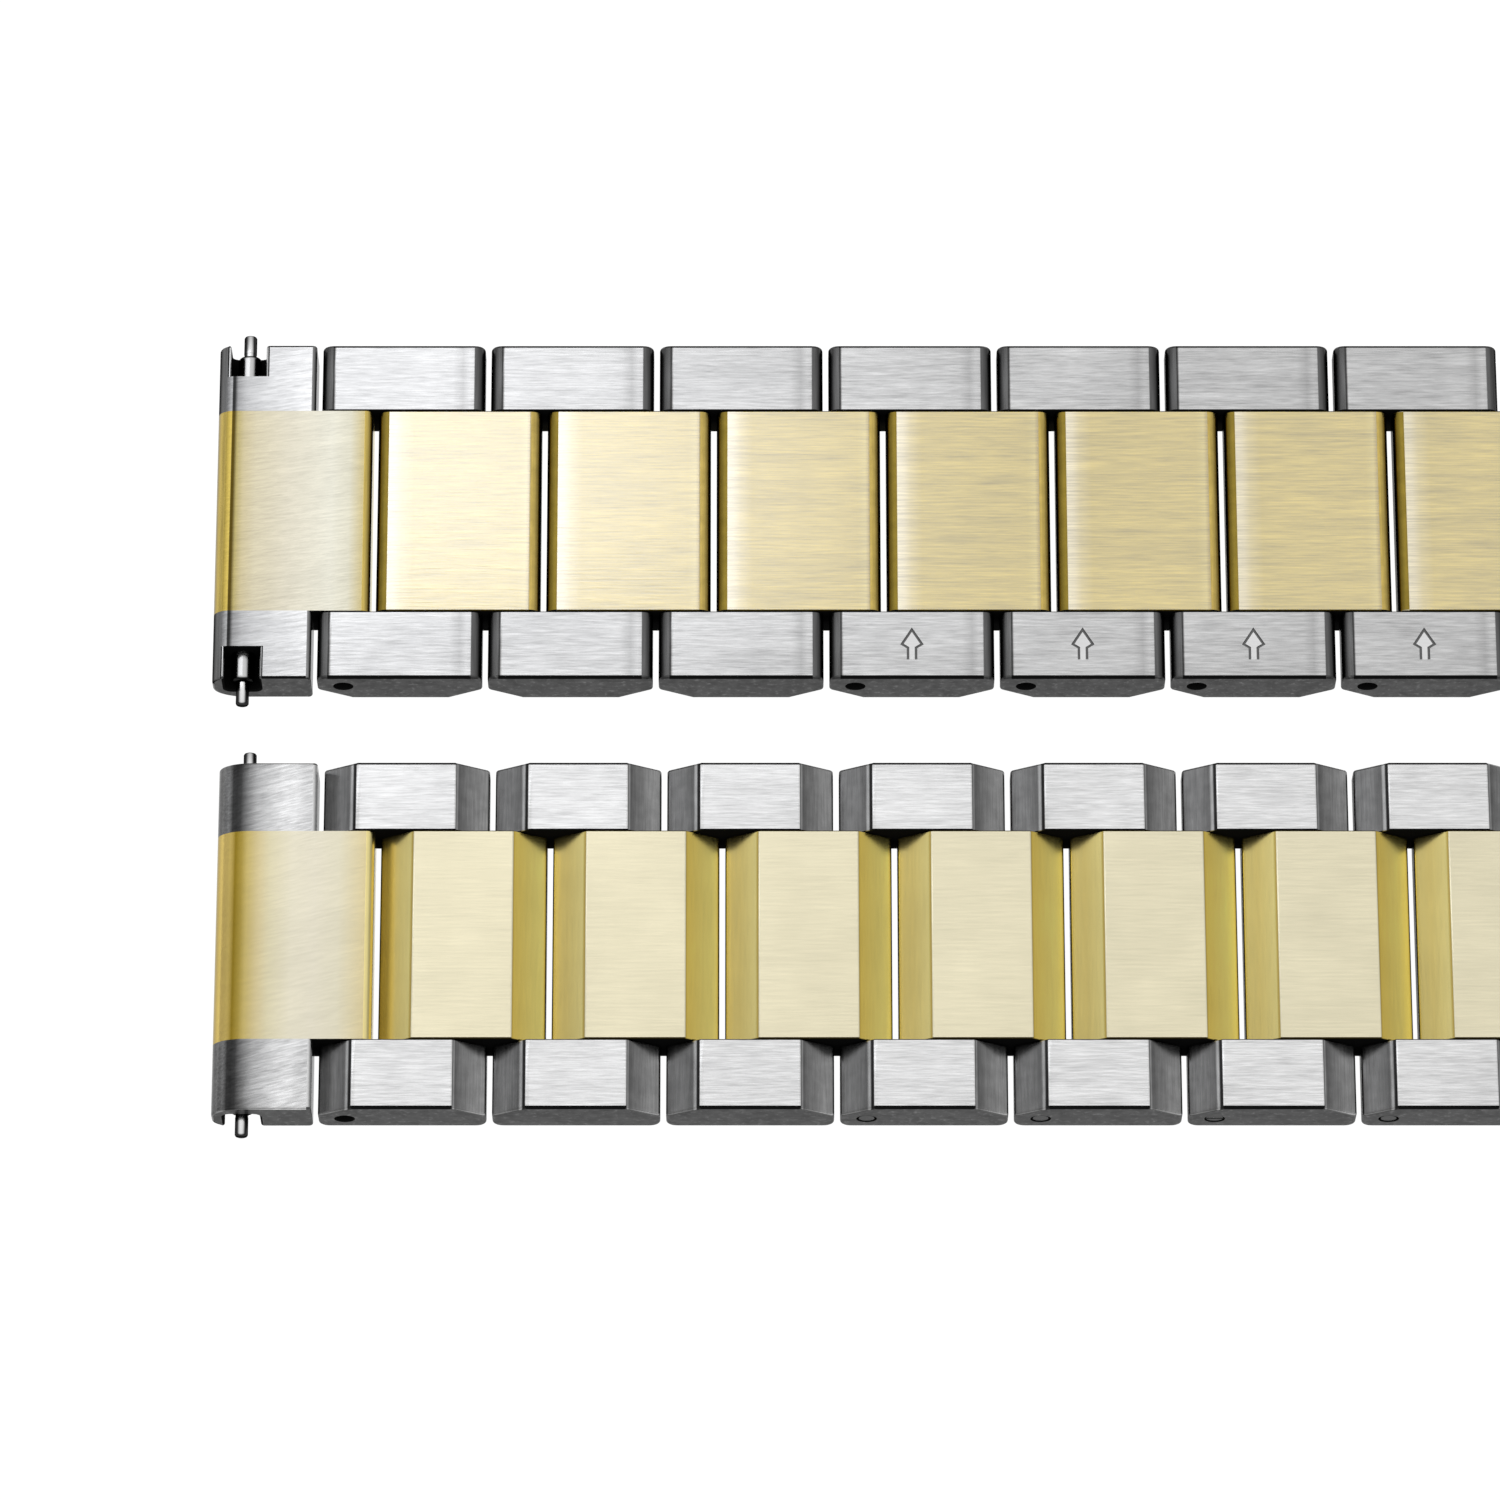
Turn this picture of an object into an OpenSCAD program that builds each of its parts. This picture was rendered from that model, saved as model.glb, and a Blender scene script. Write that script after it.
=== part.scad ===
/* [Bracelet] */
// Width of every row, which is also the lug width of the watch case
bracelet_w = 20; // [18:0.5:24]
// Width of the centre links and of the end link's tongue
centre_w = 12; // [10:0.5:13]
// Side clearance between a centre link and the outer link beside it
seam_gap = 0.04; // [0.02:0.01:0.1]
// Distance from one hinge to the next
pitch = 9.4; // [9:0.1:12]
// Clear gap between one row's link and the next row's link
link_gap = 0.32; // [0.3:0.01:0.6]
// Number of rows in each half
rows = 7; // [3:1:7]
// Distance between the centre lines of the two halves as they lie
halves_apart = 24.95; // [24:0.05:40]
// How far the case end of the turned half lies past that of the other
half_shift = 0.5; // [0:0.05:5]

/* [Links] */
// Thickness of a link
link_t = 3; // [2.8:0.1:3.6]
// Distance from a link's end to the hinge in it
hinge_inset = 1.43; // [1.3:0.01:1.6]
// Height of the hinge above the underside
hinge_z = 1.25; // [1.1:0.01:1.5]
// Length of the bevel at each end of the top face
bevel_run = 1.85; // [1:0.05:2.4]
// Height that the bevel takes off the end
bevel_drop = 1.2; // [0.8:0.05:1.5]
// Radius along the two ends of the underside
underside_r = 0.6; // [0.3:0.05:0.75]

/* [Link pins] */
// Radius of the hinge pin
hinge_pin_r = 0.48; // [0.4:0.01:0.5]
// Radius of the hinge hole through a link
hinge_hole_r = 0.53; // [0.52:0.01:0.55]
// Radius of the wider hole in the flanks where a pin can be pushed out
push_hole_r = 0.56; // [0.55:0.01:0.58]
// How far the pushed-out pin stops short of the flank that it leaves by
pin_recess = 0.12; // [0.05:0.01:0.3]
// Recess of the first row's pin, which sits deeper
first_pin_recess = 0.6; // [0.3:0.05:0.9]
// Depth of the open hole that the pin is pushed by
push_depth = 2.6; // [1.5:0.1:3]
// Metal left between a blind hole and the flank
blind_wall = 1.3; // [0.8:0.1:2]
// Clearance at the end of a blind pin
pin_end_gap = 0.1; // [0.05:0.01:0.2]
// Width of the slot that splits the end of a hinge pin
split_w = 0.16; // [0.1:0.01:0.2]
// Length of that slot
split_l = 2.4; // [1:0.1:4]
// How far the slot is turned from one row's pin to the next, in degrees
split_turn = 15; // [0:5:90]
// Radius of the two pins that lock a row's three links together
lock_pin_r = 0.45; // [0.35:0.01:0.48]
// Radial clearance of a pin that stays still in its hole
still_fit = 0.01; // [0.01:0.005:0.03]
// Metal left between a lock pin's hole and the flank
lock_wall = 1.6; // [1:0.1:2.2]

/* [End link] */
// Distance from the spring bar to the first hinge
bar_to_hinge = 5.55; // [5:0.05:7]
// Distance from the spring bar to the end that faces the case
end_reach = 1.65; // [1.5:0.05:2]
// Thickness of the end link
end_t = 2.9; // [2.7:0.05:3.2]
// Radius of the end link's top edge on the case side
end_top_r = 1.3; // [0.8:0.05:1.4]
// Radius of the end link's bottom edge on the case side
end_bottom_r = 0.9; // [0.5:0.05:1.2]
// Radius along the end of the tongue
tongue_r = 0.45; // [0.4:0.05:0.6]
// Length of the notch for the spring bar tool, along the bracelet
notch_l = 1.96; // [1.6:0.02:2.2]
// Depth of the notch from the flank
notch_depth = 1.9; // [1.4:0.05:2.4]
// Height of the notch above the underside
notch_h = 1.95; // [1.8:0.05:2.1]
// Radius of the notch's two inner corners
notch_r = 0.4; // [0.2:0.05:0.6]

/* [Spring bars] */
// Height of the spring bar above the underside
bar_z = 1.4; // [1.3:0.05:1.6]
// Outer radius of the spring bar's tube
tube_r = 0.65; // [0.6:0.01:0.7]
// Radial clearance of the tube in the end link
tube_fit = 0.02; // [0.01:0.01:0.05]
// Radial clearance of the clasp's bar in the link that turns on it
bar_swing_fit = 0.05; // [0.03:0.01:0.08]
// How far the tube ends inside the flank
tube_inset = 0.25; // [0.1:0.05:0.5]
// Bore radius of the tube
tube_bore_r = 0.55; // [0.54:0.01:0.57]
// Thickness of the lip that holds a tip in
tube_lip = 0.5; // [0.4:0.05:0.7]
// Radius of the tip's pivot, which goes into the lug
pivot_r = 0.36; // [0.33:0.01:0.38]
// Running clearance of a tip in the tube
tip_fit = 0.02; // [0.015:0.005:0.03]
// Length of pivot outside the flank
pivot_l = 1.1; // [0.9:0.05:1.3]
// How far a tip travels inward
tip_travel = 0.9; // [0.7:0.05:1]
// Length of the plunger inside the tube
plunger_l = 4; // [3:0.1:5]
// How much thinner the neck behind the pivot starts, on the radius, before it widens towards the pivot
neck_taper = 0.03; // [0.01:0.005:0.05]
// Wire radius of the spring
spring_wire_r = 0.07; // [0.05:0.01:0.08]
// Turns of the spring
spring_turns = 12; // [8:1:14]
// Distance from the clasp's bar to the cover's walls
bar_end_gap = 0.2; // [0.1:0.05:0.3]
// Play between the parts inside the tube, along it
inner_play = 0.03; // [0.02:0.01:0.06]

/* [Clasp] */
// Thickness of both blades
blade_t = 0.8; // [0.6:0.05:0.85]
// Width of both blades
blade_w = 11; // [9:0.5:12]
// Distance from the bracelet's pin to the hinge of the two blades
fold_x = 26; // [25:0.5:30]
// Distance from the bracelet's pin to the hinge of the cover
cover_hinge_x = 6; // [5.8:0.1:7]
// Radius of the clasp's knuckles
knuckle_r = 0.9; // [0.85:0.05:0.95]
// Radius of the clasp's hinge pins
clasp_pin_r = 0.4; // [0.35:0.01:0.45]
// Running clearance of the clasp's hinge pins
clasp_fit = 0.03; // [0.02:0.01:0.06]
// Space between neighbouring knuckles
knuckle_gap = 0.1; // [0.05:0.01:0.2]
// Width of the middle knuckles
knuckle_w = 4.4; // [3.5:0.1:5]
// Thickness of the cover's top and side walls
cover_t = 0.8; // [0.6:0.05:1]
// Inside height of the cover
cover_h = 3.1; // [3.05:0.05:3.6]
// Distance from the blades' hinge to the cover's open end
cover_tail = 9.2; // [8:0.1:12]
// Gap between the cover and the row before it
cover_gap = 0.4; // [0.3:0.05:0.6]
// Chamfer along the cover's long edges
cover_chamfer = 0.6; // [0.2:0.05:0.7]
// Radius of the cover's ends
nose_r = 1.1; // [0.8:0.05:1.2]
// Metal of the cover left of its hinge, outside the knuckle
nose_wall = 0.5; // [0.4:0.05:0.7]
// Height of the cover's walls above the surface
wall_z = 0.3; // [0.2:0.05:0.5]
// Number of adjusting holes in each wall of the cover
adjust_holes = 3; // [2:1:3]
// Distance from one adjusting hole to the next
adjust_pitch = 2.2; // [1.8:0.1:2.3]
// Distance from the last adjusting hole to the cover's open end
adjust_end = 1.8; // [1.7:0.1:2.2]
// Radial clearance of an adjusting hole around the pivot
adjust_fit = 0.09; // [0.05:0.01:0.12]
// Distance from the blades' hinge back to the catch wings' far edge
catch_back = 7; // [6:0.25:9]
// Length of the catch wings
catch_l = 3; // [2:0.25:4]
// Width of the slot that lightens each blade
slot_w = 3; // [2:0.25:4]
// Length of that slot between its round ends' centres
slot_l = 9; // [5:0.5:9]
// Clearance of the catch wings inside the cover's walls
catch_fit = 0.05; // [0.03:0.01:0.1]

/* [Hidden] */
$fn = 48;
cut = 0.2;
steel = [0.76, 0.77, 0.78];
dark_steel = [0.55, 0.56, 0.58];
gold = [0.87, 0.77, 0.48];

halves = ["six", "twelve"];
half_parts = ["end_link", "spring_bar_tube", "spring_bar_tip_near", "spring_bar_tip_far",
    "spring_bar_spring"];
row_parts = ["outer_links", "centre_link", "pins"];
clasp_parts = ["base_blade", "base_pins", "fold_blade", "cover", "cover_pin",
    "adjusting_bar", "adjusting_tip_near", "adjusting_tip_far"];

function half_node(half, part) = str(halves[half], "_", half_parts[part]);
function row_node(half, row, part) = str(halves[half], "_row_", row, "_", row_parts[part]);
function clasp_node(part) = str("clasp_", clasp_parts[part]);

// Widths, from the middle of the bracelet outward
flank_y = bracelet_w / 2;
outer_y = centre_w / 2 + seam_gap;

// Lengths along a row, counted from its own hinge
link_l = pitch - link_gap;
outer_x = -hinge_inset;
centre_x = hinge_inset + link_gap;
lock_pin_x = [centre_x + hinge_inset, outer_x + link_l - hinge_inset];
pushed_rows = [1, 4, 5, 6, 7];
split_near_rows = [1, 6];
pin_l = bracelet_w - push_depth - pin_recess;
blind_y = flank_y - blind_wall;
lock_y = flank_y - lock_wall;
tube_half = flank_y - tube_inset;
neck_step = 0.015;
pivot_chamfer = 0.1;

// Places along a half, counted from its spring bar
function hinge_x(n) = bar_to_hinge + (n - 1) * pitch;
clasp_x = hinge_x(rows + 1);

// Clasp, counted from the bracelet's pin
fold_hinge_z = knuckle_r;
fold_z = 2 * knuckle_r - blade_t;
cover_hinge_z = fold_z + knuckle_r;
cover_x = cover_hinge_x - knuckle_r - nose_wall;
end_piece_l = cover_x - cover_gap;
cover_l = fold_x + cover_tail - cover_x;
cover_top = cover_h + cover_t;
cover_inner_y = flank_y - cover_t;
adjust_half = cover_inner_y - bar_end_gap;
adjust_x = fold_x + cover_tail - adjust_end - (adjust_holes - 1) * adjust_pitch;
adjust_bore_r = tube_r + bar_swing_fit;
side_knuckle_y = knuckle_w / 2 + knuckle_gap;
slot_x = (cover_hinge_x + fold_x - slot_l) / 2;

// The frame's origin is under the middle of the whole, on the surface that it lies on
left_x = -end_reach - half_shift;
right_x = clasp_x + fold_x + cover_tail;
origin_x = -(left_x + right_x) / 2;

// A cylinder along Y, from one end to the other
module rod(r, y0, y1) {
    translate([0, y1, 0])
        rotate([90, 0, 0])
            cylinder(r = r, h = y1 - y0);
}

// What a fillet takes off an edge along Y that has its metal toward +X and +Z
module edge_waste(r, w) {
    difference() {
        translate([-cut, -w / 2 - cut, -cut])
            cube([r + cut, w + 2 * cut, r + cut]);
        translate([r, 0, r])
            rod(r, -w / 2 - 2 * cut, w / 2 + 2 * cut);
    }
}

// Waste of the four edges of a bar that lies along X, with a radius for each
module bar_edges_waste(l, w, h, low_left, low_right, high_left, high_right) {
    if (low_left > 0)
        edge_waste(low_left, w);
    if (low_right > 0)
        translate([l, 0, 0])
            mirror([1, 0, 0])
                edge_waste(low_right, w);
    if (high_left > 0)
        translate([0, 0, h])
            mirror([0, 0, 1])
                edge_waste(high_left, w);
    if (high_right > 0)
        translate([l, 0, h])
            mirror([1, 0, 0])
                mirror([0, 0, 1])
                    edge_waste(high_right, w);
}

// Side outline of a link: flat top between two bevels, short upright ends
module link_outline() {
    polygon([
        [0, 0],
        [link_l, 0],
        [link_l, link_t - bevel_drop],
        [link_l - bevel_run, link_t],
        [bevel_run, link_t],
        [0, link_t - bevel_drop]
    ]);
}

// A link's bar, from its left end to the right and from y0 to y1
module link_bar(y0, y1) {
    middle = (y0 + y1) / 2;
    difference() {
        translate([0, y1, 0])
            rotate([90, 0, 0])
                linear_extrude(height = y1 - y0)
                    link_outline();
        translate([0, middle, 0])
            bar_edges_waste(link_l, y1 - y0, link_t, underside_r, underside_r, 0, 0);
    }
}

function is_one_of(row, listed) = len([for (r = listed) if (r == row) r]) > 0;

// The two steel links at the sides of a row, each with a hinge hole and two blind holes for the lock pins
module outer_links(row) {
    pushed = is_one_of(row, pushed_rows);
    hole_r = pushed ? push_hole_r : hinge_hole_r;
    hole_y = pushed ? flank_y + cut : blind_y + pin_end_gap;
    color(steel)
        for (side = [-1, 1])
            difference() {
                translate([outer_x, 0, 0])
                    link_bar(side > 0 ? outer_y : -flank_y, side > 0 ? flank_y : -outer_y);
                translate([0, 0, hinge_z])
                    rod(hole_r, side > 0 ? 0 : -hole_y, side > 0 ? hole_y : 0);
                for (x = lock_pin_x)
                    translate([x, 0, hinge_z])
                        rod(lock_pin_r + still_fit, side > 0 ? 0 : -lock_y, side > 0 ? lock_y : 0);
            }
}

// The wide link in the middle of a row, which reaches on into the next row's hinge
module centre_link(end_bore_r) {
    color(gold)
        difference() {
            translate([centre_x, 0, 0])
                link_bar(-centre_w / 2, centre_w / 2);
            translate([pitch, 0, hinge_z])
                rod(end_bore_r, -flank_y, flank_y);
            for (x = lock_pin_x)
                translate([x, 0, hinge_z])
                    rod(lock_pin_r + still_fit, -flank_y, flank_y);
        }
}

// A straight pin with one end split, so that it grips its hole. Pins go in either end first.
module hinge_pin(y0, y1, row) {
    split_y = is_one_of(row, split_near_rows) ? y0 - cut : y1 - split_l;
    difference() {
        rod(hinge_pin_r, y0, y1);
        rotate([0, split_turn * row, 0])
            translate([-split_w / 2, split_y, -hinge_pin_r - cut])
                cube([split_w, split_l + cut, 2 * (hinge_pin_r + cut)]);
    }
}

// The split pin of a row that can be taken out: near one flank, deep under the other
module pushed_pin(recess, row) {
    hinge_pin(-flank_y + recess, -flank_y + recess + pin_l, row);
}

// A row's split hinge pin and the two lock pins behind it
module row_pins(row) {
    color(dark_steel) {
        translate([0, 0, hinge_z])
            if (is_one_of(row, pushed_rows))
                pushed_pin(row == 1 ? first_pin_recess : pin_recess, row);
            else
                hinge_pin(-blind_y, blind_y, row);
        for (x = lock_pin_x)
            translate([x, 0, hinge_z])
                rod(lock_pin_r, -lock_y + pin_end_gap, lock_y - pin_end_gap);
    }
}

// Waste of one tool notch in the end link, open to the underside and to the flank at +Y
module notch_waste() {
    translate([-notch_l / 2, flank_y - notch_depth, -cut])
        cube([notch_l, notch_depth + cut, notch_h - notch_r + cut]);
    translate([-notch_l / 2 + notch_r, flank_y - notch_depth, -cut])
        cube([notch_l - 2 * notch_r, notch_depth + cut, notch_h + cut]);
    for (x = [-1, 1])
        translate([x * (notch_l / 2 - notch_r), 0, notch_h - notch_r])
            rod(notch_r, flank_y - notch_depth, flank_y + cut);
}

// The one-piece link that fits between the case's lugs, with the tongue that carries the first row
module end_link() {
    body_l = end_reach + bar_to_hinge - hinge_inset - link_gap;
    tongue_l = end_reach + bar_to_hinge + hinge_inset;
    color(steel)
        difference() {
            translate([-end_reach, 0, 0])
                difference() {
                    union() {
                        translate([0, -flank_y, 0])
                            cube([body_l, bracelet_w, end_t]);
                        translate([0, -centre_w / 2, 0])
                            cube([tongue_l, centre_w, end_t]);
                    }
                    bar_edges_waste(tongue_l, bracelet_w, end_t,
                        end_bottom_r, tongue_r, end_top_r, tongue_r);
                }
            translate([0, 0, bar_z])
                rod(tube_r + tube_fit, -flank_y - cut, flank_y + cut);
            translate([bar_to_hinge, 0, hinge_z])
                rod(hinge_hole_r, -flank_y, flank_y);
            for (side = [0, 1])
                mirror([0, side, 0])
                    notch_waste();
        }
}

// A spring bar's hollow tube, with a lip at each end and a shoulder that falls away in a quarter turn
module bar_tube(half_l) {
    lip_r = pivot_r + tip_fit;
    rim = 0.06;
    shoulder = tube_r - lip_r - rim;
    steps = 6;
    outline = concat(
        [[lip_r, 0]],
        [for (i = [0:steps]) [
            tube_r - shoulder + shoulder * sin(90 * i / steps),
            shoulder - shoulder * cos(90 * i / steps)
        ]],
        [for (i = [0:steps]) [
            tube_r - shoulder + shoulder * cos(90 * i / steps),
            2 * half_l - shoulder + shoulder * sin(90 * i / steps)
        ]],
        [[lip_r, 2 * half_l], [lip_r, 2 * half_l - tube_lip], [tube_bore_r, 2 * half_l - tube_lip],
         [tube_bore_r, tube_lip], [lip_r, tube_lip]]);
    color(steel)
        translate([0, half_l, 0])
            rotate([90, 0, 0])
                rotate_extrude()
                    polygon(outline);
}

// The tip at +Y: a plunger behind the lip, a neck that widens through it and the pivot outside
module bar_tip(half_l, pivot_y, end_y) {
    plunger_y = half_l - tube_lip - inner_play;
    plunger_r = tube_bore_r - tip_fit;
    color(dark_steel)
        rotate([-90, 0, 0])
            rotate_extrude()
                polygon([
                    [0, plunger_y - plunger_l],
                    [plunger_r, plunger_y - plunger_l],
                    [plunger_r, plunger_y],
                    [pivot_r - neck_taper, plunger_y],
                    [pivot_r - neck_step, pivot_y],
                    [pivot_r, pivot_y],
                    [pivot_r, end_y - pivot_chamfer],
                    [pivot_r - pivot_chamfer, end_y],
                    [0, end_y]
                ]);
}

// Points of one ring of the spring's wire, at a turn angle
function wire_ring(angle, y, coil_r, sides) = [
    for (s = [0:sides - 1])
        let (a = 360 * s / sides, r = coil_r + spring_wire_r * cos(a))
        [r * cos(angle), y + spring_wire_r * sin(a), r * sin(angle)]
];

// The coil between the two plungers: one wire swept along a helix
module bar_spring(half_l) {
    sides = 6;
    steps = 10;
    coil_r = tube_bore_r - spring_wire_r - inner_play;
    y_end = half_l - tube_lip - 2 * inner_play - plunger_l - spring_wire_r;
    count = spring_turns * steps;
    rings = [for (i = [0:count]) wire_ring(360 * i / steps, -y_end + 2 * y_end * i / count, coil_r, sides)];
    points = [for (ring = rings) for (p = ring) p];
    side_faces = [
        for (i = [0:count - 1], s = [0:sides - 1])
            let (a = i * sides + s, b = i * sides + (s + 1) % sides)
            each [[a, a + sides, b], [b, a + sides, b + sides]]
    ];
    caps = [
        [for (s = [0:sides - 1]) s],
        [for (s = [sides - 1:-1:0]) count * sides + s]
    ];
    color(dark_steel)
        polyhedron(points = points, faces = concat(side_faces, caps));
}

module spring_bar_tube() {
    translate([0, 0, bar_z])
        bar_tube(tube_half);
}

module spring_bar_tip(side) {
    translate([0, 0, bar_z])
        mirror([0, side > 0 ? 0 : 1, 0])
            bar_tip(tube_half, flank_y + still_fit, flank_y + pivot_l);
}

module spring_bar_spring() {
    translate([0, 0, bar_z])
        bar_spring(tube_half);
}

// Waste of the slot with round ends that goes through a blade, halfway between its hinges
module blade_slot() {
    translate([slot_x, -slot_w / 2, -cut])
        cube([slot_l, slot_w, blade_t + 2 * cut]);
    for (x = [slot_x, slot_x + slot_l])
        translate([x, 0, -cut])
            cylinder(r = slot_w / 2, h = blade_t + 2 * cut);
}

// A knuckle along Y between y0 and y1, with its web to a plate that lies toward +X or -X
module knuckle(y0, y1, web_z, toward) {
    web_l = knuckle_r + 2 * knuckle_gap;
    rod(knuckle_r, y0, y1);
    translate([toward > 0 ? 0 : -web_l, y0, web_z])
        cube([web_l, y1 - y0, blade_t]);
}

// The lower blade, with the two ears that take the bracelet's last pin
module base_blade() {
    plate_end = fold_x - knuckle_r - knuckle_gap;
    catch_y = cover_inner_y - catch_fit;
    color(steel)
        difference() {
            union() {
                intersection() {
                    translate([outer_x, 0, 0])
                        link_bar(-flank_y, flank_y);
                    translate([outer_x - cut, -flank_y - cut, -cut])
                        cube([end_piece_l - outer_x + cut, bracelet_w + 2 * cut, link_t + 2 * cut]);
                }
                translate([centre_x, -blade_w / 2, 0])
                    cube([plate_end - centre_x, blade_w, blade_t]);
                translate([fold_x - catch_back, -catch_y, 0])
                    cube([catch_l, 2 * catch_y, blade_t]);
                translate([fold_x, 0, fold_hinge_z]) {
                    knuckle(side_knuckle_y, blade_w / 2, -fold_hinge_z, -1);
                    knuckle(-blade_w / 2, -side_knuckle_y, -fold_hinge_z, -1);
                }
            }
            translate([outer_x - cut, -outer_y, -cut])
                cube([centre_x - outer_x + cut, 2 * outer_y, link_t + 2 * cut]);
            translate([0, 0, hinge_z])
                rod(push_hole_r, -flank_y - cut, flank_y + cut);
            translate([fold_x, 0, fold_hinge_z])
                rod(clasp_pin_r + still_fit, -flank_y, flank_y);
            blade_slot();
        }
}

// The pin at the bracelet's end and the pin that joins the two blades
module base_pins() {
    color(dark_steel) {
        translate([0, 0, hinge_z])
            pushed_pin(pin_recess, rows + 1);
        translate([fold_x, 0, fold_hinge_z])
            rod(clasp_pin_r, -blade_w / 2, blade_w / 2);
    }
}

// The upper blade, which folds back over the lower one
module fold_blade() {
    plate_x0 = cover_hinge_x + knuckle_r + knuckle_gap;
    plate_x1 = fold_x - knuckle_r - knuckle_gap;
    color(steel)
        difference() {
            union() {
                translate([plate_x0, -blade_w / 2, fold_z])
                    cube([plate_x1 - plate_x0, blade_w, blade_t]);
                translate([fold_x, 0, fold_hinge_z])
                    knuckle(-knuckle_w / 2, knuckle_w / 2, fold_z - fold_hinge_z, -1);
                translate([cover_hinge_x, 0, cover_hinge_z])
                    knuckle(-knuckle_w / 2, knuckle_w / 2, fold_z - cover_hinge_z, 1);
            }
            translate([fold_x, 0, fold_hinge_z])
                rod(clasp_pin_r + clasp_fit, -flank_y, flank_y);
            translate([cover_hinge_x, 0, cover_hinge_z])
                rod(clasp_pin_r + clasp_fit, -flank_y, flank_y);
            translate([0, 0, fold_z])
                blade_slot();
        }
}

// End view of the cover: a channel with chamfered shoulders
module cover_outline() {
    polygon([
        [-flank_y, wall_z],
        [-cover_inner_y, wall_z],
        [-cover_inner_y, cover_h],
        [cover_inner_y, cover_h],
        [cover_inner_y, wall_z],
        [flank_y, wall_z],
        [flank_y, cover_top - cover_chamfer],
        [flank_y - cover_chamfer, cover_top],
        [-flank_y + cover_chamfer, cover_top],
        [-flank_y, cover_top - cover_chamfer]
    ]);
}

// The outer shell of the clasp, with two lugs inside for its hinge and adjusting holes in its walls
module clasp_cover() {
    color(steel)
        difference() {
            union() {
                difference() {
                    translate([cover_x, 0, 0])
                        rotate([90, 0, 90])
                            linear_extrude(height = cover_l)
                                cover_outline();
                    translate([cover_x, 0, wall_z])
                        bar_edges_waste(cover_l, bracelet_w, cover_top - wall_z,
                            nose_r, nose_r, nose_r, nose_r / 2);
                }
                for (side = [0, 1])
                    mirror([0, side, 0])
                        translate([cover_hinge_x, 0, cover_hinge_z]) {
                            rod(knuckle_r, side_knuckle_y, blade_w / 2);
                            translate([-knuckle_r, side_knuckle_y, 0])
                                cube([2 * knuckle_r, blade_w / 2 - side_knuckle_y,
                                    cover_h - cover_hinge_z + cut]);
                        }
            }
            translate([cover_hinge_x, 0, cover_hinge_z])
                rod(clasp_pin_r + still_fit, -blade_w, blade_w);
            for (i = [0:adjust_holes - 1])
                translate([adjust_x + i * adjust_pitch, 0, hinge_z])
                    rod(pivot_r + adjust_fit, -flank_y - cut, flank_y + cut);
        }
}

module cover_pin() {
    color(dark_steel)
        translate([cover_hinge_x, 0, cover_hinge_z])
            rod(clasp_pin_r, -blade_w / 2, blade_w / 2);
}

// The spring bar in the cover's first adjusting hole, which would hold the other half
module adjusting_bar() {
    translate([adjust_x, 0, hinge_z])
        bar_tube(adjust_half);
}

module adjusting_tip(side) {
    translate([adjust_x, 0, hinge_z])
        mirror([0, side > 0 ? 0 : 1, 0])
            bar_tip(adjust_half, adjust_half + still_fit, flank_y - pin_recess);
}

// One half stands face up; the other is turned over about X, so that its underside shows
module place_half(half) {
    if (half == 0)
        translate([origin_x, -halves_apart / 2, 0])
            children();
    else
        translate([origin_x - half_shift, halves_apart / 2, link_t])
            rotate([180, 0, 0])
                children();
}

module place_clasp() {
    place_half(0)
        translate([clasp_x, 0, 0])
            children();
}

module half_piece(half, part) {
    near = half == 0 ? -1 : 1;
    if (part == 0)
        end_link();
    else if (part == 1)
        spring_bar_tube();
    else if (part == 2)
        spring_bar_tip(near);
    else if (part == 3)
        spring_bar_tip(-near);
    else
        spring_bar_spring();
}

module row_piece(half, row, part) {
    free_end = half == 1 && row == rows;
    if (part == 0)
        outer_links(row);
    else if (part == 1)
        centre_link(free_end ? adjust_bore_r : hinge_hole_r);
    else
        row_pins(row);
}

module clasp_piece(part) {
    if (part == 0)
        base_blade();
    else if (part == 1)
        base_pins();
    else if (part == 2)
        fold_blade();
    else if (part == 3)
        clasp_cover();
    else if (part == 4)
        cover_pin();
    else if (part == 5)
        adjusting_bar();
    else
        adjusting_tip(part == 6 ? -1 : 1);
}

for (half = [0:1], part = [0:len(half_parts) - 1])
    place_half(half) half_piece(half, part);

for (half = [0:1], row = [1:rows], part = [0:len(row_parts) - 1])
    place_half(half) translate([hinge_x(row), 0, 0]) row_piece(half, row, part);

for (part = [0:len(clasp_parts) - 1])
    place_clasp() clasp_piece(part);
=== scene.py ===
"""Looks of a two-tone metal watch bracelet that lies in two halves on a white floor.

Sizes are in millimetres in the bracelet's own coordinates: x from a half's spring bar towards the clasp,
y across the bracelet and z up from the underside. HalfPlace turns them into the frame's metres.
"""
from __future__ import annotations

import logging
from dataclasses import dataclass, replace
from enum import Enum, IntEnum
from math import atan2, cos, pi, radians, sin, tan

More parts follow.
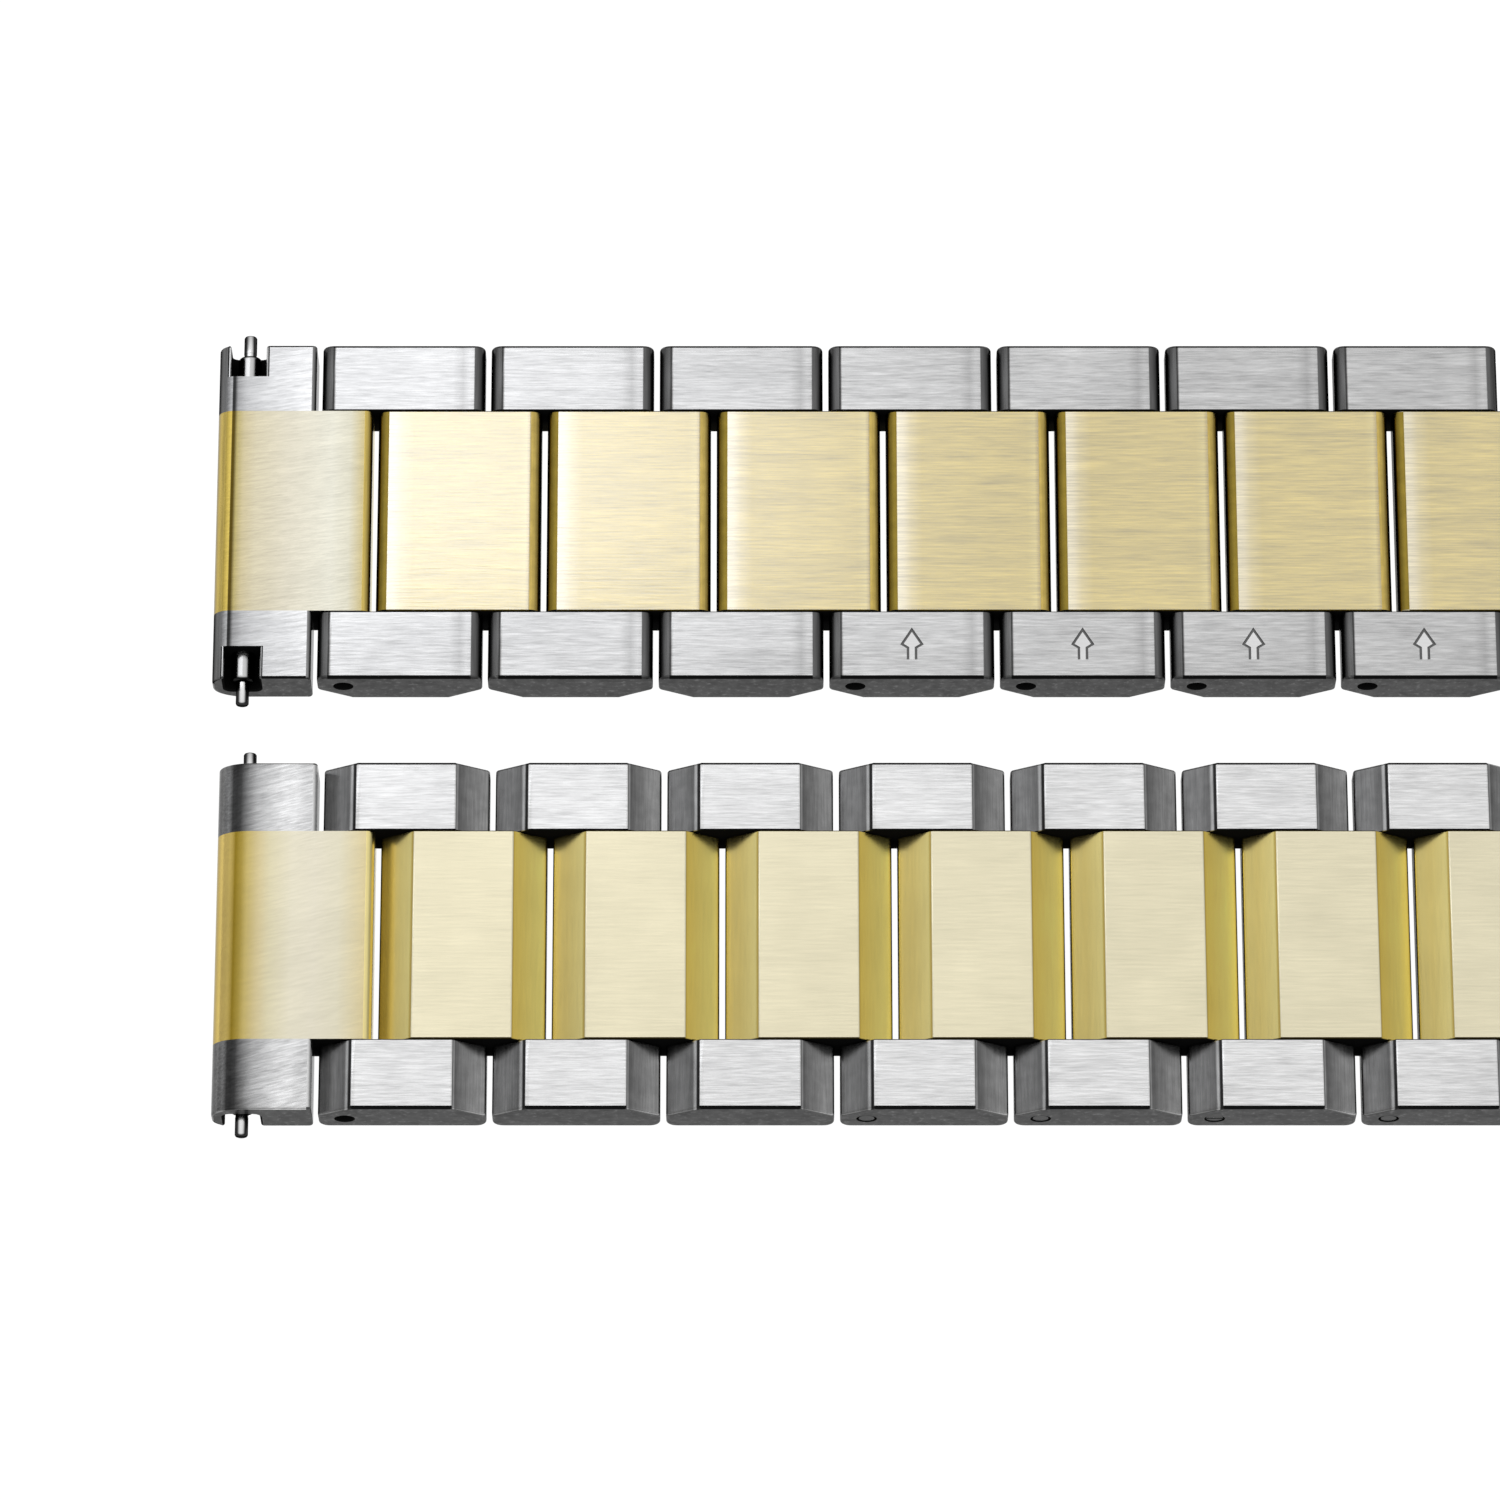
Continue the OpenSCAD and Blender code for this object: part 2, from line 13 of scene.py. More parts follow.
import bmesh
import bpy
import numpy as np
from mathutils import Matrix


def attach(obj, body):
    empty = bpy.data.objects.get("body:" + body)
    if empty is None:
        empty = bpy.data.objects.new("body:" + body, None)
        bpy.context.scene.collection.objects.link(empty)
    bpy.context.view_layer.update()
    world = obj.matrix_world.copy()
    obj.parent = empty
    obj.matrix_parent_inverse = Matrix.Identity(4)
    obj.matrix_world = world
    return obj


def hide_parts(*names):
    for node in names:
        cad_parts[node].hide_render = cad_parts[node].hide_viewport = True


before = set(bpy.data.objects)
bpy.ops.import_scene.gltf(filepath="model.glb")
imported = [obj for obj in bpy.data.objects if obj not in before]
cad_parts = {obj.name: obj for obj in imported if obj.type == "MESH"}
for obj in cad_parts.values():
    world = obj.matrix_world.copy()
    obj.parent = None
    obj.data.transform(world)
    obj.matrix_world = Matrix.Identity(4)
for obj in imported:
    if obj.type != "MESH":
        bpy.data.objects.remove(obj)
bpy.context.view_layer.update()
LOG = logging.getLogger("bracelet")
MM = 0.001

# Sizes and counts that more than one piece shares, in millimetres.
ROWS = 7
PITCH = 9.4
BAR_TO_HINGE = 5.55
CLASP_HINGE_X = BAR_TO_HINGE + ROWS * PITCH
CASE_END_X = -1.65
COVER_END = 35.2
THICKNESS = 3.0
FLANK_Y = 10.0
CENTRE_Y = 6.0
HINGE_Z = 1.25
BAR_Z = 1.4
HINGE_HOLE_R = 0.53

# The pieces' own map: its name, and how many millimetres along a piece make one unit of v.
CHART = "place"
CHART_MM = 10.0

Pair = tuple[float, float]
Color = tuple[float, float, float]
Tones = tuple[tuple[float, Color], ...]
Socket = bpy.types.NodeSocket


class Zone(IntEnum):
    """Which finish a face takes: the index of the piece's material slot.

    FLAT is the top, UNDERSIDE the bottom, BEVEL the slope at each end, WALL the upright end below it and
    FLANK the side that shows. BORE is a hole, EDGE a rounded rim and SEAM a side against the next link.
    """

    FLAT = 0
    UNDERSIDE = 1
    BEVEL = 2
    WALL = 3
    FLANK = 4
    BORE = 5
    EDGE = 6
    SEAM = 7


class Axis(IntEnum):
    """A direction that a prism or a metal's grain runs along."""

    X = 0
    Y = 1
    Z = 2


class Half(Enum):
    """The two halves of the bracelet, by the side of the case that they hang from."""

    SIX = "six"
    TWELVE = "twelve"


class Side(Enum):
    """The two sides of a half as it lies: near is towards -Y."""

    NEAR = "near"
    FAR = "far"


@dataclass(frozen=True)
class HalfPlace:
    """Where a half lies: face up at -Y, or turned over about X at +Y.

    apart is the distance between the halves' middles, and turned_shift how much further left the turned
    one lies.
    """

    half: Half
    apart: float = 24.95
    thickness: float = THICKNESS
    left: float = CASE_END_X
    right: float = CLASP_HINGE_X + COVER_END
    turned_shift: float = 0.5

    @property
    def turned(self) -> bool:
        """Whether the half lies on its face."""
        return self.half is Half.TWELVE

    @property
    def middle(self) -> float:
        """The half's own x that lies at the frame's origin, midway between the ends of both halves."""
        return (self.left + self.right + self.turned_shift * (1 if self.turned else -1)) / 2

    def world(self, points: np.ndarray) -> np.ndarray:
        """Turn a half's own points into the frame's metres.

        Args:
            points: an array that ends in three coordinates in millimetres.

        Returns:
            The same array in metres. A turned half has y and z reversed, which is half a turn about X.
        """
        flip = -1.0 if self.turned else 1.0
        shift = np.array([-self.middle, -flip * self.apart / 2, self.thickness if self.turned else 0])
        return (points * np.array([1.0, flip, flip]) + shift) * MM

    def own_side(self, side: Side) -> int:
        """The sign of y, in the half's own coordinates, of a side as it lies."""
        return (-1 if side is Side.NEAR else 1) * (-1 if self.turned else 1)


@dataclass(frozen=True)
class Outline:
    """A closed outline in the XZ plane or a stretch of one, counter-clockwise, with the metal inside.

    points and normals are (N, 2), and zones names the finish of the stretch that starts at each point.
    """

    points: np.ndarray
    normals: np.ndarray
    zones: np.ndarray

    @staticmethod
    def arc(centre: Pair, radii: Pair, angles: np.ndarray, zone: Zone, after: Zone) -> Outline:
        """A stretch of outline along an ellipse whose axes are level and upright.

        At angle t the point is centre + (a*cos t, b*sin t) and its normal lies along (cos t/a, sin t/b).

        Args:
            centre: x and z of the ellipse's middle.
            radii: a and b.
            angles: the angle of each point, in radians.
            zone: the finish of the arc.
            after: the finish of the stretch that starts at the arc's end.

        Returns:
            The stretch.
        """
        way = np.stack([np.cos(angles), np.sin(angles)], 1)
        normals = way / np.array(radii)
        normals /= np.linalg.norm(normals, axis=1, keepdims=True)
        zones = np.r_[np.full(len(angles) - 1, int(zone)), int(after)]
        return Outline(np.array(centre) + way * np.array(radii), normals, zones)

    @staticmethod
    def joined(stretches: list[Outline]) -> Outline:
        """One outline out of stretches that follow each other.

        Args:
            stretches: the stretches in order.

        Returns:
            The outline.
        """
        return Outline(
            np.concatenate([stretch.points for stretch in stretches]),
            np.concatenate([stretch.normals for stretch in stretches]),
            np.concatenate([stretch.zones for stretch in stretches]),
        )

    @staticmethod
    def rounded(
        corners: list[Pair],
        radii: list[float],
        edges: list[Zone],
        bends: list[Zone],
        steps: int = 8,
    ) -> Outline:
        """Round a polygon's corners with arcs that touch both edges.

        The arc of radius r at a corner that turns by angle t begins r*tan(t/2) before the corner, and its
        points are centre + r*(edge normal turned by 0 to t).

        Args:
            corners: the polygon's corners, counter-clockwise.
            radii: the radius at each corner.
            edges: the zone of the edge that leaves each corner.
            bends: the zone of each corner's arc.
            steps: segments in each arc.

        Returns:
            The rounded outline.
        """
        corner = np.array(corners, float)
        ways = np.roll(corner, -1, axis=0) - corner
        ways /= np.linalg.norm(ways, axis=1, keepdims=True)
        points, normals, zones = [], [], []
        for k, radius in enumerate(radii):
            way_in, way_out = ways[k - 1], ways[k]
            turn = atan2(way_in[0] * way_out[1] - way_in[1] * way_out[0], way_in @ way_out)
            side = np.sign(turn)
            start = corner[k] - way_in * radius * tan(abs(turn) / 2)
            out = np.array([way_in[1], -way_in[0]])
            angle = np.linspace(0, turn, steps + 1)
            normal_x = out[0] * np.cos(angle) - out[1] * np.sin(angle)
            normal_z = out[0] * np.sin(angle) + out[1] * np.cos(angle)
            normal = np.stack([normal_x, normal_z], 1)
            points.append(start - side * radius * out + side * radius * normal)
            normals.append(normal)
            zones.append(np.r_[np.full(steps, int(bends[k])), int(edges[k])])
        return Outline(np.concatenate(points), np.concatenate(normals), np.concatenate(zones))

    def seen_from(self, centre: Pair, rays: int = 56, skew: float = 0.013) -> Outline:
        """Add a point where each of some evenly turned rays from a centre meets the outline.

        On the edge from a to b, the ray along d meets a + t*(b - a), with t = ((a - c) x d) / ((a - b) x d).

        Args:
            centre: a point that sees the whole outline.
            rays: how many rays.
            skew: how far the first ray is turned past the outline's first point, in radians.

        Returns:
            The outline with the added points, in order of angle.
        """
        rel = self.points - np.array(centre)
        angle = np.unwrap(np.arctan2(rel[:, 1], rel[:, 0]))
        extra = angle[0] + np.linspace(0, 2 * pi, rays, endpoint=False) + skew
        a = np.clip(np.searchsorted(angle, extra, side="right") - 1, 0, len(angle) - 1)
        b = (a + 1) % len(angle)
        ray = np.stack([np.cos(extra), np.sin(extra)], 1)
        edge = self.points[a] - self.points[b]
        cross = edge[:, 0] * ray[:, 1] - edge[:, 1] * ray[:, 0]
        t = (rel[a, 0] * ray[:, 1] - rel[a, 1] * ray[:, 0]) / cross
        points = self.points[a] - t[:, None] * edge
        normals = (1 - t)[:, None] * self.normals[a] + t[:, None] * self.normals[b]
        normals /= np.linalg.norm(normals, axis=1, keepdims=True)
        order = np.argsort(np.r_[angle, extra], kind="stable")
        zones = np.r_[self.zones, self.zones[a]][order]
        return Outline(np.r_[self.points, points][order], np.r_[self.normals, normals][order], zones)

    def ring(self, y: float, inset: float = 0.0) -> np.ndarray:
        """The outline at a distance y across, drawn in along its normals by inset."""
        flat = self.points - inset * self.normals
        return np.stack([flat[:, 0], np.full(len(flat), y), flat[:, 1]], 1)

    def circle(self, centre: Pair, radius: float, y: float) -> np.ndarray:
        """A circle with one point on the ray to each of the outline's points.

        Args:
            centre: x and z of its middle.
            radius: its radius, or 0 for a ring of points that are all at the middle.
            y: its distance across the bracelet.

        Returns:
            The ring of points.
        """
        way = self.points - np.array(centre)
        way /= np.linalg.norm(way, axis=1, keepdims=True)
        flat = np.array(centre) + radius * way
        return np.stack([flat[:, 0], np.full(len(flat), y), flat[:, 1]], 1)

    def rim(self, y: float, size: float, inward: int, steps: int = 5) -> list[np.ndarray]:
        """Rings of a rounded rim, a quarter circle from the flank plane to the outline's own surface.

        At angle a the ring is drawn in by size*(1 - sin a) and lies size*(1 - cos a) inward of the flank.

        Args:
            y: the flank plane.
            size: the rim's radius.
            inward: the sign of y from the flank into the metal.
            steps: segments of the quarter circle.

        Returns:
            The rings, from the flank plane on.
        """
        turns = np.linspace(0, pi / 2, steps + 1)
        return [self.ring(y + inward * size * (1 - cos(a)), size * (1 - sin(a))) for a in turns]


@dataclass(frozen=True)
class Shell:
    """One closed surface in millimetres: points, quads, the flat lids over its ends, and each face's zone.

    zones names the finish of each quad and then of each lid.
    """

    points: np.ndarray
    quads: np.ndarray
    zones: np.ndarray
    lids: tuple[np.ndarray, ...] = ()

    @staticmethod
    def skin(
        rings: list[np.ndarray],
        zones: np.ndarray,
        closed: bool = False,
        lidded: bool = False,
        lid_zone: Zone = Zone.FLANK,
    ) -> Shell:
        """Join rings of equal length with quads into a surface.

        Point (v, u) joins (v, u + 1), (v + 1, u + 1) and (v + 1, u), with u taken round. The surface is
        turned inside out if the volume under its triangles, the sum of a . (b x c) / 6, is negative.

        Args:
            rings: the rings, each (U, 3).
            zones: the zone of each quad, (number of bands, U).
            closed: whether the last ring joins the first.
            lidded: whether a flat face closes the first ring and the last.
            lid_zone: the finish of those faces.

        Returns:
            The surface.
        """
        grid = np.stack(rings)
        count, width = grid.shape[:2]
        index = np.arange(count * width).reshape(count, width)
        low = index if closed else index[:-1]
        high = np.roll(index, -1, axis=0) if closed else index[1:]
        quads = np.stack([low, np.roll(low, -1, axis=1), np.roll(high, -1, axis=1), high], -1).reshape(-1, 4)
        lids = (index[0, ::-1], index[-1]) if lidded else ()
        points = grid.reshape(-1, 3)
        a, b, c, d = (points[quads[:, k]] for k in range(4))
        volume = np.sum(a * np.cross(b, c)) + np.sum(a * np.cross(c, d))
        for lid in lids:
            edge = points[lid]
            volume += np.sum(edge[0] * np.cross(edge[1:-1], edge[2:]))
        if volume < 0:
            quads, lids = quads[:, ::-1], tuple(lid[::-1] for lid in lids)
        return Shell(points, quads, np.r_[np.ravel(zones), np.full(len(lids), int(lid_zone))], lids)

    def mirrored(self) -> Shell:
        """The same surface on the other side of the bracelet, y reversed and faces turned round."""
        points = self.points * np.array([1.0, -1.0, 1.0])
        return Shell(points, self.quads[:, ::-1], self.zones, tuple(lid[::-1] for lid in self.lids))

    def turned(self, degrees: float, centre: Pair) -> Shell:
        """The same surface turned about an axis along Y, from Z towards X.

        A point at (a, b) from the axis goes to (a*cos t + b*sin t, b*cos t - a*sin t).

        Args:
            degrees: the turn.
            centre: x and z of the axis.

        Returns:
            The turned surface.
        """
        t = radians(degrees)
        a, b = self.points[:, 0] - centre[0], self.points[:, 2] - centre[1]
        x, z = centre[0] + a * cos(t) + b * sin(t), centre[1] + b * cos(t) - a * sin(t)
        return replace(self, points=np.stack([x, self.points[:, 1], z], 1))


def lathe(
    profile: list[Pair] | np.ndarray, centre: Pair, zone: Zone, sides: int = 40, end: Zone | None = None
) -> Shell:
    """Turn a profile about an axis along Y.

    The point of a profile's (radius, y) at angle a is (x + radius*cos a, y, z + radius*sin a).

    Args:
        profile: (radius, y) from one end to the other. Where it ends off the axis, its two ends join.
        centre: x and z of the axis.
        zone: the finish.
        sides: points round the axis.
        end: the finish of the first and last bands, if it differs.

    Returns:
        The turned surface.
    """
    radius, y = np.array(profile, float).T
    angle = np.linspace(0, 2 * pi, sides, endpoint=False)
    grid = np.stack(
        [
            centre[0] + radius[:, None] * np.cos(angle),
            np.repeat(y[:, None], sides, 1),
            centre[1] + radius[:, None] * np.sin(angle),
        ],
        -1,
    )
    closed = radius[0] > 0
    bands = len(radius) - (0 if closed else 1)
    zones = np.full((bands, sides), int(zone))
    if end is not None:
        zones[[0, -1]] = int(end)
    return Shell.skin(list(grid), zones, closed)


def drill(centre: Pair, radius: float, reach: float, sides: int) -> Shell:
    """A cutter for a hole through both flanks: a cylinder along Y from -reach to reach.

    Args:
        centre: x and z of the hole.
        radius: its radius.
        reach: how far the cutter goes each way.
        sides: points round it.

    Returns:
        The closed cylinder.
    """
    return lathe([(0, -reach), (radius, -reach), (radius, reach), (0, reach)], centre, Zone.BORE, sides)


def prism(outline: np.ndarray, low: float, high: float, zone: Zone, along: Axis = Axis.Z) -> Shell:
    """Stand a flat outline up into a prism.

    Args:
        outline: (N, 2) points.
        low: where the prism starts along its axis.
        high: where it ends.
        zone: the finish.
        along: the axis, Z for an outline in x and y, or X for one in y and z.

    Returns:
        The prism with both ends closed.
    """
    order = {Axis.Z: [0, 1, 2], Axis.X: [2, 0, 1]}[along]
    rings = [np.c_[outline, np.full(len(outline), level)][:, order] for level in (low, high)]
    return Shell.skin(rings, np.full((1, len(outline)), int(zone)), lidded=True, lid_zone=zone)


def bored_block(
    outline: Outline,
    y0: float,
    y1: float,
    rims: Pair,
    centre: Pair,
    bore_r: float,
    blind_y: float | None = None,
    flanks: tuple[Zone, Zone] = (Zone.SEAM, Zone.SEAM),
) -> Shell:
    """A link or a lug between two flanks, with a hole across it from the lower flank.

    The surface runs from the hole's mouth over the first flank and its rim, along the sides, over the
    second rim and flank, and back through the hole, or for a blind hole to a pole in the flank's middle.

    Args:
        outline: the block's side.
        y0: the flank that the hole opens in.
        y1: the other flank.
        rims: the rim's radius at each flank.
        centre: x and z of the hole.
        bore_r: the hole's radius.
        blind_y: where a blind hole ends, or None if it goes through.
        flanks: the zones of the two flanks.

    Returns:
        The closed surface.
    """
    seen = outline.seen_from(centre)
    first = seen.rim(y0, rims[0], 1)
    second = seen.rim(y1, rims[1], -1)[::-1]
    around = [seen.circle(centre, bore_r, y0), *first, *second]
    flank0, flank1, bore = (np.full(len(seen.zones), int(zone)) for zone in (*flanks, Zone.BORE))
    # A rim next to the top or the underside takes EDGE, painted shade that draws a dark line along the
    # flank's edge, and a wall's rim takes the flank's finish.
    edges = []
    for flank in flanks:
        edge = np.where(seen.zones == Zone.WALL, int(flank), seen.zones)
        edges.append(np.where(np.isin(seen.zones, (Zone.FLAT, Zone.UNDERSIDE)), int(Zone.EDGE), edge))
    zones = [flank0, *[edges[0]] * (len(first) - 1), seen.zones, *[edges[1]] * (len(second) - 1), flank1]
    if blind_y is None:
        return Shell.skin([*around, seen.circle(centre, bore_r, y1)], np.stack([*zones, bore]), closed=True)
    pole = [seen.circle(centre, 0.0, blind_y), seen.circle(centre, bore_r, blind_y)]
    return Shell.skin([*pole, *around, seen.circle(centre, 0.0, y1)], np.stack([bore, bore, *zones]))


@dataclass(frozen=True)
class Wiring:
    """The nodes and links of one material or of the world, with the kinds of node that the looks need."""

    nodes: bpy.types.Nodes
    links: bpy.types.NodeLinks

    def noise(self, at: Socket, scale: float, detail: float, roughness: float) -> Socket:
        """A noise texture.

        Args:
            at: the place that it is read at.
            scale: grains to the metre.
            detail: how many finer layers it has.
            roughness: how much each layer counts beside the one before.

        Returns:
            The noise, about 0.5 on average.
        """
        node = self.nodes.new("ShaderNodeTexNoise")
        for name, value in (("Scale", scale), ("Detail", detail), ("Roughness", roughness)):
            node.inputs[name].default_value = value
        self.links.new(at, node.inputs["Vector"])
        return node.outputs["Fac"]

    def span(self, value: Socket, old: Pair, new: Pair, smooth: bool = False) -> Socket:
        """Carry a value from one range over to another and hold it there.

        Args:
            value: the value.
            old: the range that it comes from.
            new: the range that it goes to.
            smooth: whether it eases in and out instead of running straight.

        Returns:
            The new value.
        """
        node = self.nodes.new("ShaderNodeMapRange")
        node.interpolation_type = "SMOOTHSTEP" if smooth else "LINEAR"
        node.inputs["From Min"].default_value, node.inputs["From Max"].default_value = old
        node.inputs["To Min"].default_value, node.inputs["To Max"].default_value = new
        self.links.new(value, node.inputs["Value"])
        return node.outputs["Result"]

    def times(self, first: Socket, second: Socket) -> Socket:
        """Multiply two values.

        Args:
            first: one value.
            second: the other.

        Returns:
            Their product.
        """
        node = self.nodes.new("ShaderNodeMath")
        node.operation = "MULTIPLY"
        self.links.new(first, node.inputs[0])
        self.links.new(second, node.inputs[1])
        return node.outputs["Value"]

    def mix(self, first: Socket, second: Socket, share: float) -> Socket:
        """Mix two values.

        Args:
            first: one value.
            second: the other.
            share: the second's share, from 0 to 1.

        Returns:
            The mixed value.
        """
        node = self.nodes.new("ShaderNodeMix")
        node.inputs["Factor"].default_value = share
        self.links.new(first, node.inputs["A"])
        self.links.new(second, node.inputs["B"])
        return node.outputs["Result"]

    def parts(self, vector: Socket) -> bpy.types.NodeOutputs:
        """Split a vector.

        Args:
            vector: the vector.

        Returns:
            Its parts, the sockets X, Y and Z.
        """
        node = self.nodes.new("ShaderNodeSeparateXYZ")
        self.links.new(vector, node.inputs["Vector"])
        return node.outputs

    def ramp(self, value: Socket, stops: Tones) -> Socket:
        """Turn a value into a colour that runs straight from stop to stop.

        Args:
            value: the value.
            stops: at least two values from 0 to 1, in rising order, each with its colour.

        Returns:
            The colour.
        """
        node = self.nodes.new("ShaderNodeValToRGB")
        elements = node.color_ramp.elements
        elements[0].position, elements[1].position = stops[0][0], stops[-1][0]
        for at, _ in stops[1:-1]:
            elements.new(at)
        for element, (_, color) in zip(elements, stops):
            element.color = (*color, 1)
        self.links.new(value, node.inputs["Fac"])
        return node.outputs["Color"]


@dataclass(frozen=True)
class Metal:
    """A brushed or polished metal, with streaks along one direction and a slow mottling.

    The streaks are noise on Object coordinates squeezed stretch times along the grain, broad_share of it
    broad_ratio times coarser. They move brightness, roughness and a bump together: noise_span of the
    noise gives the full change of brightness, and all of it gives rough_span times the roughness. Two
    more things come from the piece's own map, which Workshop.chart stores, and both are painted light:
    fall is painted shade that darkens what leans away from level, which on a round pin leaves a painted
    highlight along its top, and the tones are colours by the distance in millimetres from the piece's
    left end, the metal's own colour with painted highlights, reflections and dark lines along it. A metal
    that isn't metallic is matt black, painted shade in holes, rims and seams. flecks lightens small
    scratches, and coat_ior lays a clear lacquer over the metal. Each noise's layers are its detail and how
    rough it is.
    """

    name: str
    color: Color
    roughness: float = 0.3
    streak: float = 0.1
    fine: float = 9000.0
    stretch: float = 22.0
    grain_deg: float = 0.0
    grain: Axis = Axis.X
    mottle: float = 0.04
    patch: float = 260.0
    bump: float = 0.08
    metallic: float = 1.0
    glance: float = 1.0
    fall: float = 1.0
    level: Pair = (0.1, 0.7)
    flecks: float = 0.0
    coat_ior: float = 0.0
    tones: Tones = ()
    broad_share: float = 0.28
    broad_ratio: float = 5.0
    noise_span: Pair = (0.3, 0.7)
    rough_span: Pair = (0.8, 1.25)
    fleck_fine: float = 3200.0
    fleck_span: Pair = (0.54, 0.72)
    fine_layers: Pair = (3.0, 0.6)
    slow_layers: Pair = (2.0, 0.5)
    fleck_layers: Pair = (4.0, 0.65)
    bump_depth: float = 0.00002
    coat_roughness: float = 0.05

    def build(self) -> bpy.types.Material:
        """Make the material, or find it if it was made before.

        Returns:
            The node-based material.
        """
        made = bpy.data.materials.get(self.name)
        if made:
            return made
        material = bpy.data.materials.new(self.name)
        material.use_nodes = True
        wiring = Wiring(material.node_tree.nodes, material.node_tree.links)
        shader = wiring.nodes["Principled BSDF"]
        shader.inputs["Metallic"].default_value = self.metallic
        shader.inputs["Specular IOR Level"].default_value = 0.5 * self.metallic
        shader.inputs["Specular Tint"].default_value = (*grey(self.glance), 1)
        if self.coat_ior:
            shader.inputs["Coat Weight"].default_value = 1.0
            shader.inputs["Coat IOR"].default_value = self.coat_ior
            shader.inputs["Coat Roughness"].default_value = self.coat_roughness
        at = wiring.nodes.new("ShaderNodeTexCoord").outputs["Object"]
        streaks = self._streaks(wiring, at)
        wiring.links.new(self._paint(wiring, at, streaks), shader.inputs["Base Color"])
        low, high = self.rough_span
        rough = wiring.span(streaks, (0.0, 1.0), (self.roughness * low, self.roughness * high))
        wiring.links.new(rough, shader.inputs["Roughness"])
        if self.bump:
            bump = wiring.nodes.new("ShaderNodeBump")
            bump.inputs["Strength"].default_value = self.bump
            bump.inputs["Distance"].default_value = self.bump_depth
            wiring.links.new(streaks, bump.inputs["Height"])
            wiring.links.new(bump.outputs["Normal"], shader.inputs["Normal"])
            wiring.links.new(bump.outputs["Normal"], shader.inputs["Coat Normal"])
        return material

    def _streaks(self, wiring: Wiring, at: Socket) -> Socket:
        """The streaks: fine and broad noise on a place that is turned and then squeezed along the grain.

        Args:
            wiring: the material's nodes.
            at: the place on the piece.

        Returns:
            The streaks' level, from 0 to 1.
        """
        turn = wiring.nodes.new("ShaderNodeMapping")
        turn.inputs["Rotation"].default_value = (0, 0, radians(self.grain_deg))
        wiring.links.new(at, turn.inputs["Vector"])
        squeeze = wiring.nodes.new("ShaderNodeMapping")
        squeeze.inputs["Scale"].default_value[self.grain] = 1 / self.stretch
        wiring.links.new(turn.outputs["Vector"], squeeze.inputs["Vector"])
        squeezed = squeeze.outputs["Vector"]
        fine = wiring.noise(squeezed, self.fine, *self.fine_layers)
        broad = wiring.noise(squeezed, self.fine / self.broad_ratio, *self.slow_layers)
        return wiring.mix(fine, broad, self.broad_share)

    def _paint(self, wiring: Wiring, at: Socket, streaks: Socket) -> Socket:
        """The base colour: color or the tones with their painted light, times streaks, patches, flecks and
        the painted shade by the lean.

        Args:
            wiring: the material's nodes.
            at: the place on the piece.
            streaks: the streaks' level.

        Returns:
            The colour.
        """
        amount = wiring.span(streaks, self.noise_span, (1 - self.streak, 1 + self.streak))
        patches = wiring.noise(at, self.patch, *self.slow_layers)
        cloud = wiring.span(patches, self.noise_span, (1 - self.mottle, 1 + self.mottle))
        amount = wiring.times(amount, cloud)
        if self.flecks:
            scratches = wiring.noise(at, self.fleck_fine, *self.fleck_layers)
            amount = wiring.times(amount, wiring.span(scratches, self.fleck_span, (1.0, 1 + self.flecks)))
        paint = wiring.nodes.new("ShaderNodeVectorMath")
        paint.operation = "SCALE"
        paint.inputs[0].default_value = self.color
        # Painted light from the piece's own map: painted shade by how far a corner leans from level, and the
        # tones' painted highlights, reflections and dark lines by the distance along the piece.
        if self.fall < 1 or self.tones:
            chart = wiring.nodes.new("ShaderNodeUVMap")
            chart.uv_map = CHART
            parts = wiring.parts(chart.outputs["UV"])
            if self.fall < 1:
                lean = wiring.span(parts["X"], self.level, (self.fall, 1.0), smooth=True)
                amount = wiring.times(amount, lean)
            if self.tones:
                stops = tuple((mm / CHART_MM, color) for mm, color in self.tones)
                wiring.links.new(wiring.ramp(parts["Y"], stops), paint.inputs[0])
        wiring.links.new(amount, paint.inputs["Scale"])
        return paint.outputs["Vector"]


def grey(level: float) -> Color:
    """The same level in all three channels."""
    return (level, level, level)


# Tones with painted light: a colour at each of some distances in millimetres from a piece's left end.
# Each list is the metal's own colour with painted highlights, painted reflections, painted dark lines at
# the creases and painted shade at the rounded ends.
STEEL_BEVEL_TONES_AND_PAINTED_LIGHT = (
    (0.03, grey(0.05)), (0.12, grey(0.24)), (0.5, grey(0.27)), (1.0, grey(0.25)), (1.45, grey(0.18)),
    (1.54, grey(0.52)), (1.62, grey(0.55)), (1.67, grey(0.03)), (7.28, grey(0.05)),
    (7.33, grey(0.55)), (7.42, grey(0.19)), (7.7, grey(0.28)), (8.3, grey(0.40)), (9.0, grey(0.52)),
    (9.06, grey(0.06)),
)
GOLD_BEVEL_TONES_AND_PAINTED_LIGHT = (
    (0.03, (0.50, 0.42, 0.16)), (0.25, (0.72, 0.60, 0.23)), (0.8, (0.78, 0.63, 0.22)),
    (1.66, (0.86, 0.73, 0.29)), (1.76, (0.56, 0.43, 0.11)), (7.26, (0.62, 0.46, 0.09)),
    (7.36, (0.98, 0.73, 0.16)), (8.9, (1.0, 0.88, 0.29)), (9.05, (0.62, 0.50, 0.16)),
)
STEEL_BELLY_TONES_AND_PAINTED_LIGHT = (
    (0.48, grey(0.10)), (0.54, grey(0.04)), (0.68, grey(0.05)), (0.74, grey(0.51)), (7.3, grey(0.51)),
    (7.85, grey(0.42)), (8.22, grey(0.52)), (8.46, grey(0.50)), (8.5, grey(0.08)),
)
